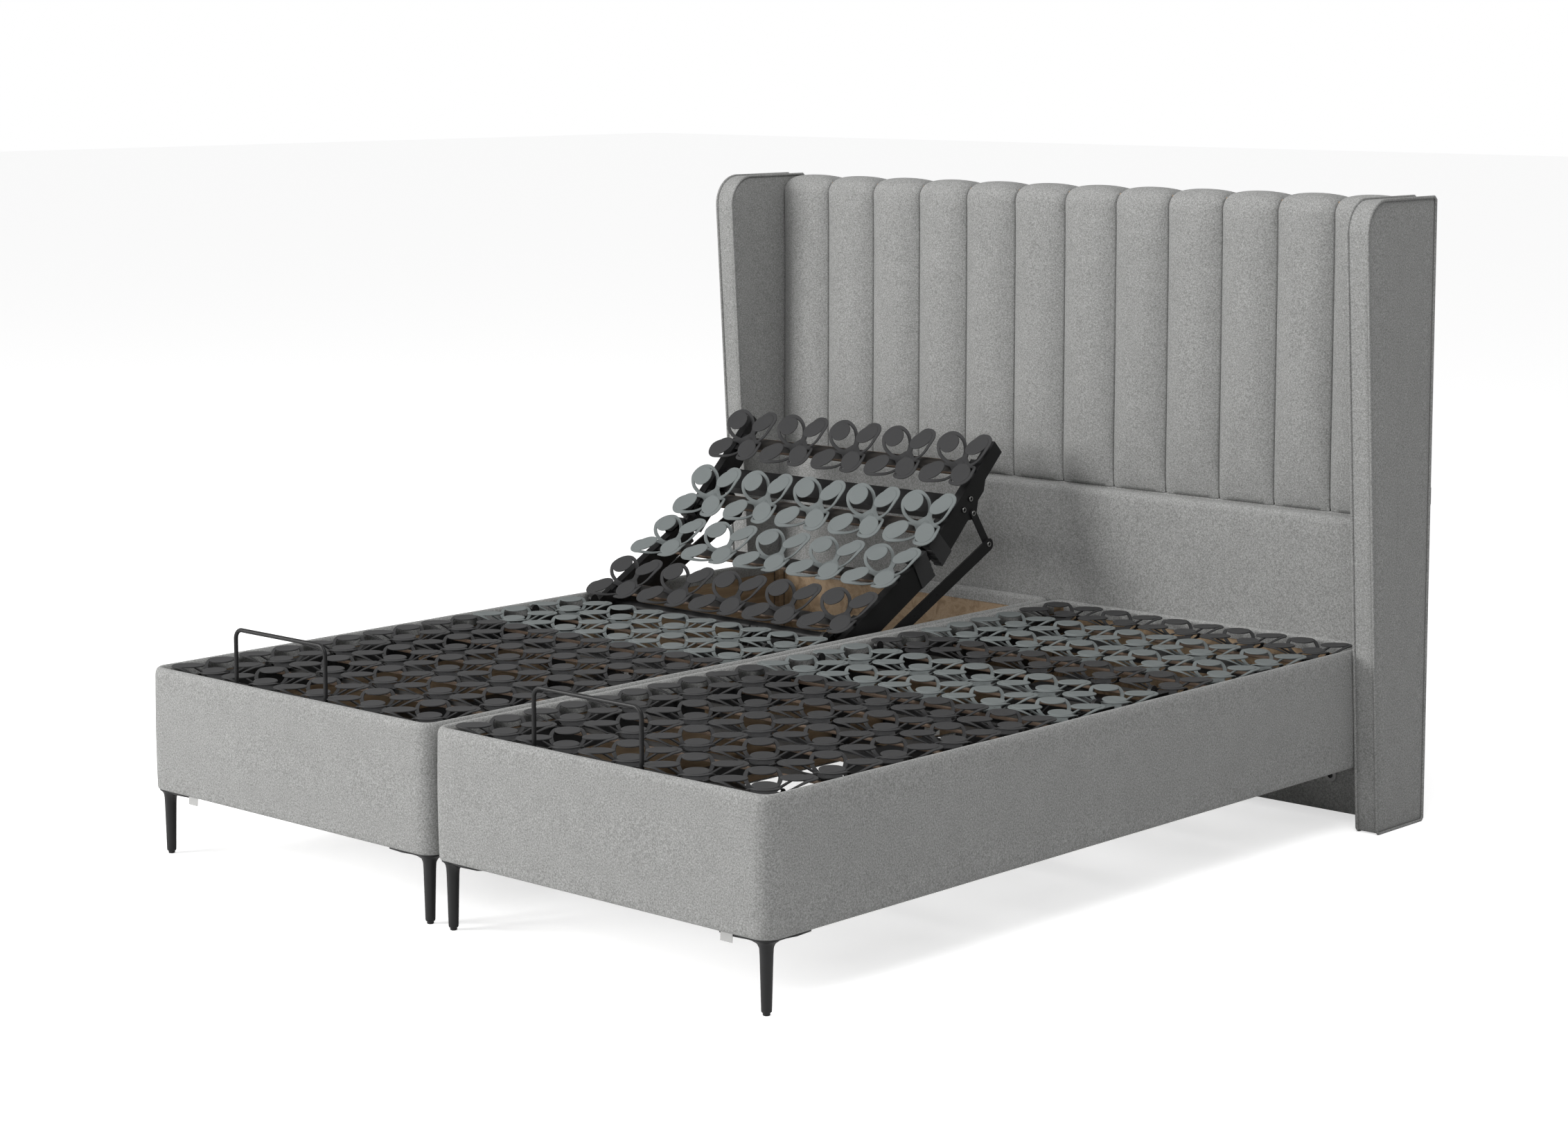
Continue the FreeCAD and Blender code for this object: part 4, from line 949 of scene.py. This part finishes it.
def wing(side, sign, seed):
    """Padded wing: a band between two piped edges, with slightly full side panels."""
    low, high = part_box("headboard_wings")
    inner_x, outer_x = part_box("headboard_core")[1].x + 0.9 * MM, high.x
    outline = wing_outline(low, high)
    centre_y = (low.y + high.y) / 2 + 10 * MM

    def pulled(share, x, crown):
        ring = []
        for y, z in outline:
            goal = Vector((0, centre_y, min(max(z, low.z + 120 * MM), high.z - 140 * MM)))
            point = Vector((0, y, z)).lerp(goal, share)
            soft = 0.8 * MM * ripple((x, point.y, point.z), 6.0, seed)
            ring.append(Vector((x + crown + soft * (share > 0.05), point.y, point.z)))
        return ring

    steps = [(0.94, 4.2), (0.7, 4.0), (0.45, 3.4), (0.2, 2.0), (0.08, 0.9), (0.03, 0.0)]
    rings = [pulled(share, inner_x + 5.0 * MM, -crown * MM) for share, crown in steps]
    width = outer_x - inner_x
    rings += [pulled(0.0, inner_x + across, 0)
              for across in (6.5 * MM, 0.3 * width, 0.5 * width, 0.7 * width, width - 6.5 * MM)]
    rings += [pulled(share, outer_x - 5.0 * MM, crown * MM) for share, crown in reversed(steps)]
    rings = [[Vector((sign * point.x, point.y, point.z)) for point in ring] for ring in rings]
    item = lofted(f"{side}_wing_pad", rings, "fabric", 70)
    finish_piece(item, ROOT, "upholstery", "headboard_wings")
    piping = Shape()
    for x in (inner_x + 4.2 * MM, outer_x - 3.4 * MM):
        path = [Vector((sign * x, y, z)) for y, z in outline]
        grown = [point + Vector((0, -along.z, along.y)) * 0.6 * MM
                 for point, along in zip(path, directions(path))]
        piping.cord_loop(grown, CORD_RADIUS)
    cord = piping.build(f"{side}_wing_piping", ["piping"], 80)
    finish_piece(cord, ROOT, "upholstery", "headboard_wings")


# ---------------- legs, tags and small steel

def corner_legs():
    """Cast legs: slim taper that sweeps out into a thin two-armed corner plate."""
    low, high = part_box("corner_legs")
    for number, points in enumerate(islands("corner_legs"), start=1):
        box_low, box_high = box_of(points)
        foot_low, foot_high = box_of([point for point in points if point.z < low.z + 1 * MM])
        centre = (foot_low + foot_high) / 2
        outward = 1 if centre.x > (box_low.x + box_high.x) / 2 else -1
        top = high.z
        rings = []
        for height, radius, spread in ((low.z, 8.6, 0), (low.z + 1.2 * MM, 9.8, 0), (low.z + 5 * MM, 10.1, 0),
                                       (low.z + 60 * MM, 11.4, 0), (top - 32 * MM, 12.6, 0),
                                       (top - 20 * MM, 13.2, 0.02), (top - 13 * MM, 14.4, 0.09),
                                       (top - 8.5 * MM, 16.5, 0.26), (top - 5.8 * MM, 19.5, 0.55),
                                       (top - 4.2 * MM, 22.0, 1.0), (top - 0.2 * MM, 22.0, 1.0)):
            ring = []
            for turn in circle(28):
                inward, along = math.cos(turn), math.sin(turn)
                arm = PLATE_ARM * (max(0.0, inward) ** 9 + max(0.0, along) ** 9) * spread
                reach = radius * MM + arm
                ring.append((centre.x - outward * inward * reach, centre.y + along * reach, height))
            rings.append(ring)
        item = lofted(f"corner_leg_{number}", rings, "leg_steel", 50)
        finish_piece(item, ROOT, "black_steel", "corner_legs")


def glides(node):
    """Turned plastic feet with a soft lower edge."""
    shape = Shape()
    for points in islands(node):
        low, high = box_of(points)
        centre, rise = (low + high) / 2, high.z - low.z
        radius = (high.x - low.x) / 2
        profile = [(0.8, low.z), (0.96, low.z + 0.12 * rise), (1, low.z + 0.3 * rise),
                   (1, high.z - 0.2 * MM), (0.9, high.z)]
        shape.lathe([(radius * share, height) for share, height in profile], centre=(centre.x, centre.y, 0))
    item = shape.build(f"{node}_turned", ["black_plastic"], 40)
    finish_piece(item, ROOT, "glide_plastic", node)


def tags():
    """Blank folded ribbons sewn into the seams."""
    thick = 0.45 * MM
    for number, points in enumerate(sorted(islands("sewn_tags"), key=lambda item: item[0].x), start=1):
        low, high = box_of(points)
        upright = high.y - low.y > 5 * MM
        around = ((-1, low), (-1, high), (1, high), (1, low))
        rings = []
        for step in range(9):
            share = step / 8
            bend = 1.1 * MM * share ** 2
            if upright:
                y = low.y - 3 * MM + (high.y - low.y + 3 * MM) * share
                x = (low.x + high.x) / 2 + bend
                rings.append([(x + face * thick, y, end.z) for face, end in around])
            else:
                z = high.z + 2 * MM - (high.z - low.z + 2 * MM) * share
                y = high.y + 1.5 * MM - bend
                rings.append([(end.x, y + face * thick, z) for face, end in around])
        item = lofted(f"sewn_tag_{number}", rings, "dark_tag" if upright else "light_tag", 50)
        finish_piece(item, ROOT, "tag_cloth", "sewn_tags")


def bolt(shape, profile, dark_from, centre, axis):
    """Turned bolt head whose bands from a given one inwards take the dark second material."""
    sides, start = 24, len(shape.faces)
    shape.lathe(profile, sides, centre, axis)
    for index in range(start, len(shape.faces)):
        shape.slots[index] = 1 if (index - start) // sides >= dark_from else 0


def bolt_ring(shape, centre, sign):
    """Rolled collar and recessed socket of a bolt seen from the side of the bed."""
    radius = 6.4 * MM
    profile = [(1, -0.6), (1, 0.7), (0.94, 1.2), (0.72, 1.5), (0.6, 1.1), (0.56, -0.2), (0.2, -0.3)]
    bolt(shape, [(radius * share, sign * height * MM) for share, height in profile], 4, centre, "x")


def neck_point(side, offset):
    """Where a point of the neck section is at rest, from its place along and above the hinge when flat."""
    start = Vector(JOINTS[f"{side}_neck_hinge"]["pos_m"])
    return start + turn_of(side, "neck") @ Vector((0, offset[0] * MM, offset[1] * MM))


def linkage_bolts():
    """Bolts on the outer faces of the neck rails, links and arms."""
    for side in SIDES:
        middle = JOINTS[f"{side}_back_hinge"]["pos_m"][0]
        neck_spots = [neck_point(side, offset) for offset in NECK_BOLTS]
        pin = Vector(JOINTS[f"{side}_link_pivot"]["pos_m"])
        groups = (("neck_bolt_rings", "neck", NECK_RING_FACE, neck_spots),
                  ("link_pin_rings", "links", LINK_RING_FACE, [pin]),
                  ("arm_end_rings", "arms", ARM_RING_FACE, [arm_end(side)]))
        for name, body, face, spots in groups:
            shape = Shape()
            for sign in (-1, 1):
                for spot in spots:
                    bolt_ring(shape, (middle + sign * face, spot.y, spot.z), sign)
            rings = shape.build(f"{side}_{name}", ["steel", "black_steel"])
            finish_piece(rings, f"{side}_{body}", "bright_steel")


def arm_end(side):
    """Centre of the rounded far end of an arm."""
    pivot = Vector(JOINTS[f"{side}_arm_pivot"]["pos_m"])
    points = [point for solid in islands(f"{side}_neck_arms") for point in solid]
    far = max(points, key=lambda point: (point.yz - pivot.yz).length)
    direction = Vector((0, far.y - pivot.y, far.z - pivot.z)).normalized()
    return Vector((0, pivot.y, pivot.z)) + direction * ARM_LENGTH


def bracket_bolts():
    """Capped bolts that hold the boxes to the headboard: fabric-grey caps with a dark socket."""
    for number, points in enumerate(islands("bracket_bolts"), start=1):
        low, high = box_of(points)
        centre = ((low.x + high.x) / 2, high.y, (low.z + high.z) / 2)
        shape = Shape()
        radius, depth = (high.x - low.x) / 2, high.y - low.y
        profile = [(1, 0), (1, -0.55), (0.9, -0.95), (0.42, -1), (0.36, -0.4), (0.1, -0.38)]
        bolt(shape, [(radius * share, depth * height) for share, height in profile], 3, centre, "y")
        cap = shape.build(f"bracket_bolt_{number}", ["bolt_cap", "black_steel"])
        finish_piece(cap, ROOT, "bright_steel", "bracket_bolts")


# ---------------- pieces that keep their CAD shape

FIXED_PIECES = (
    ("base_frames", "black_steel", ["black_steel"], 1.5),
    ("box_boards", "oak_board", ["side_wood", "end_wood"], 1.5),
    ("headboard_core", "oak_board", ["end_wood"], 1.0),
    ("actuator_housings", "motor_plastic", ["black_plastic"], 1.0),
    ("control_boxes", "motor_plastic", ["black_plastic"], 0.8),
    ("control_trays", "black_steel", ["black_steel"], 1.5),
    ("head_brackets", "black_steel", ["black_steel"], 0.8))
MOVING_PIECES = (
    ("lower_hinge_blocks", "back", "grey_plastic", "grey_plastic", 1.0),
    ("upper_hinge_blocks", "neck", "grey_plastic", "grey_plastic", 1.0),
    ("neck_arms", "arms", "black_steel", "black_steel", 0.6),
    ("neck_links", "links", "black_steel", "black_steel", 0.6),
    ("back_rod", "back_push_rod", "bright_steel", "steel", 0.5),
    ("leg_rod", "leg_push_rod", "bright_steel", "steel", 0.5),
    ("calf_glides", "calf", "glide_plastic", "black_plastic", 1.0),
    ("mattress_retainer", "calf", "black_steel", "black_steel", 0.3))


def moving_pieces(side):
    """Section frames and the small moving parts of one base."""
    for section in SECTIONS:
        rounded_copy(f"{side}_{section}_frame", f"{side}_{section}", "black_steel", ["black_steel"], 1.2 * MM)
    for part, body, slot, material, width in MOVING_PIECES:
        rounded_copy(f"{side}_{part}", f"{side}_{body}", slot, [material], width * MM)


# ---------------- build

make_camera()
make_lights()
make_world()
make_floor()
for side in SIDES:
    for section in SECTIONS:
        add_modules(side, section)
seat_modules()
for side in SIDES:
    for section in SECTIONS:
        add_slats(f"{side}_{section}_slats", f"{side}_{section}", turn_of(side, section))
add_slats("seat_slats", ROOT, Matrix.Identity(4))
for number, side in enumerate(SIDES):
    box_cover(side, 1.0 + 4.0 * number)
headboard_channels()
back_lining()
lower_panel()
wing("left", -1, 2.0)
wing("right", 1, 6.0)
corner_legs()
glides("leg_glides")
glides("headboard_glides")
tags()
for node, slot, materials, width in FIXED_PIECES:
    rounded_copy(node, ROOT, slot, materials, width * MM)
bracket_bolts()
linkage_bolts()
for side in SIDES:
    moving_pieces(side)
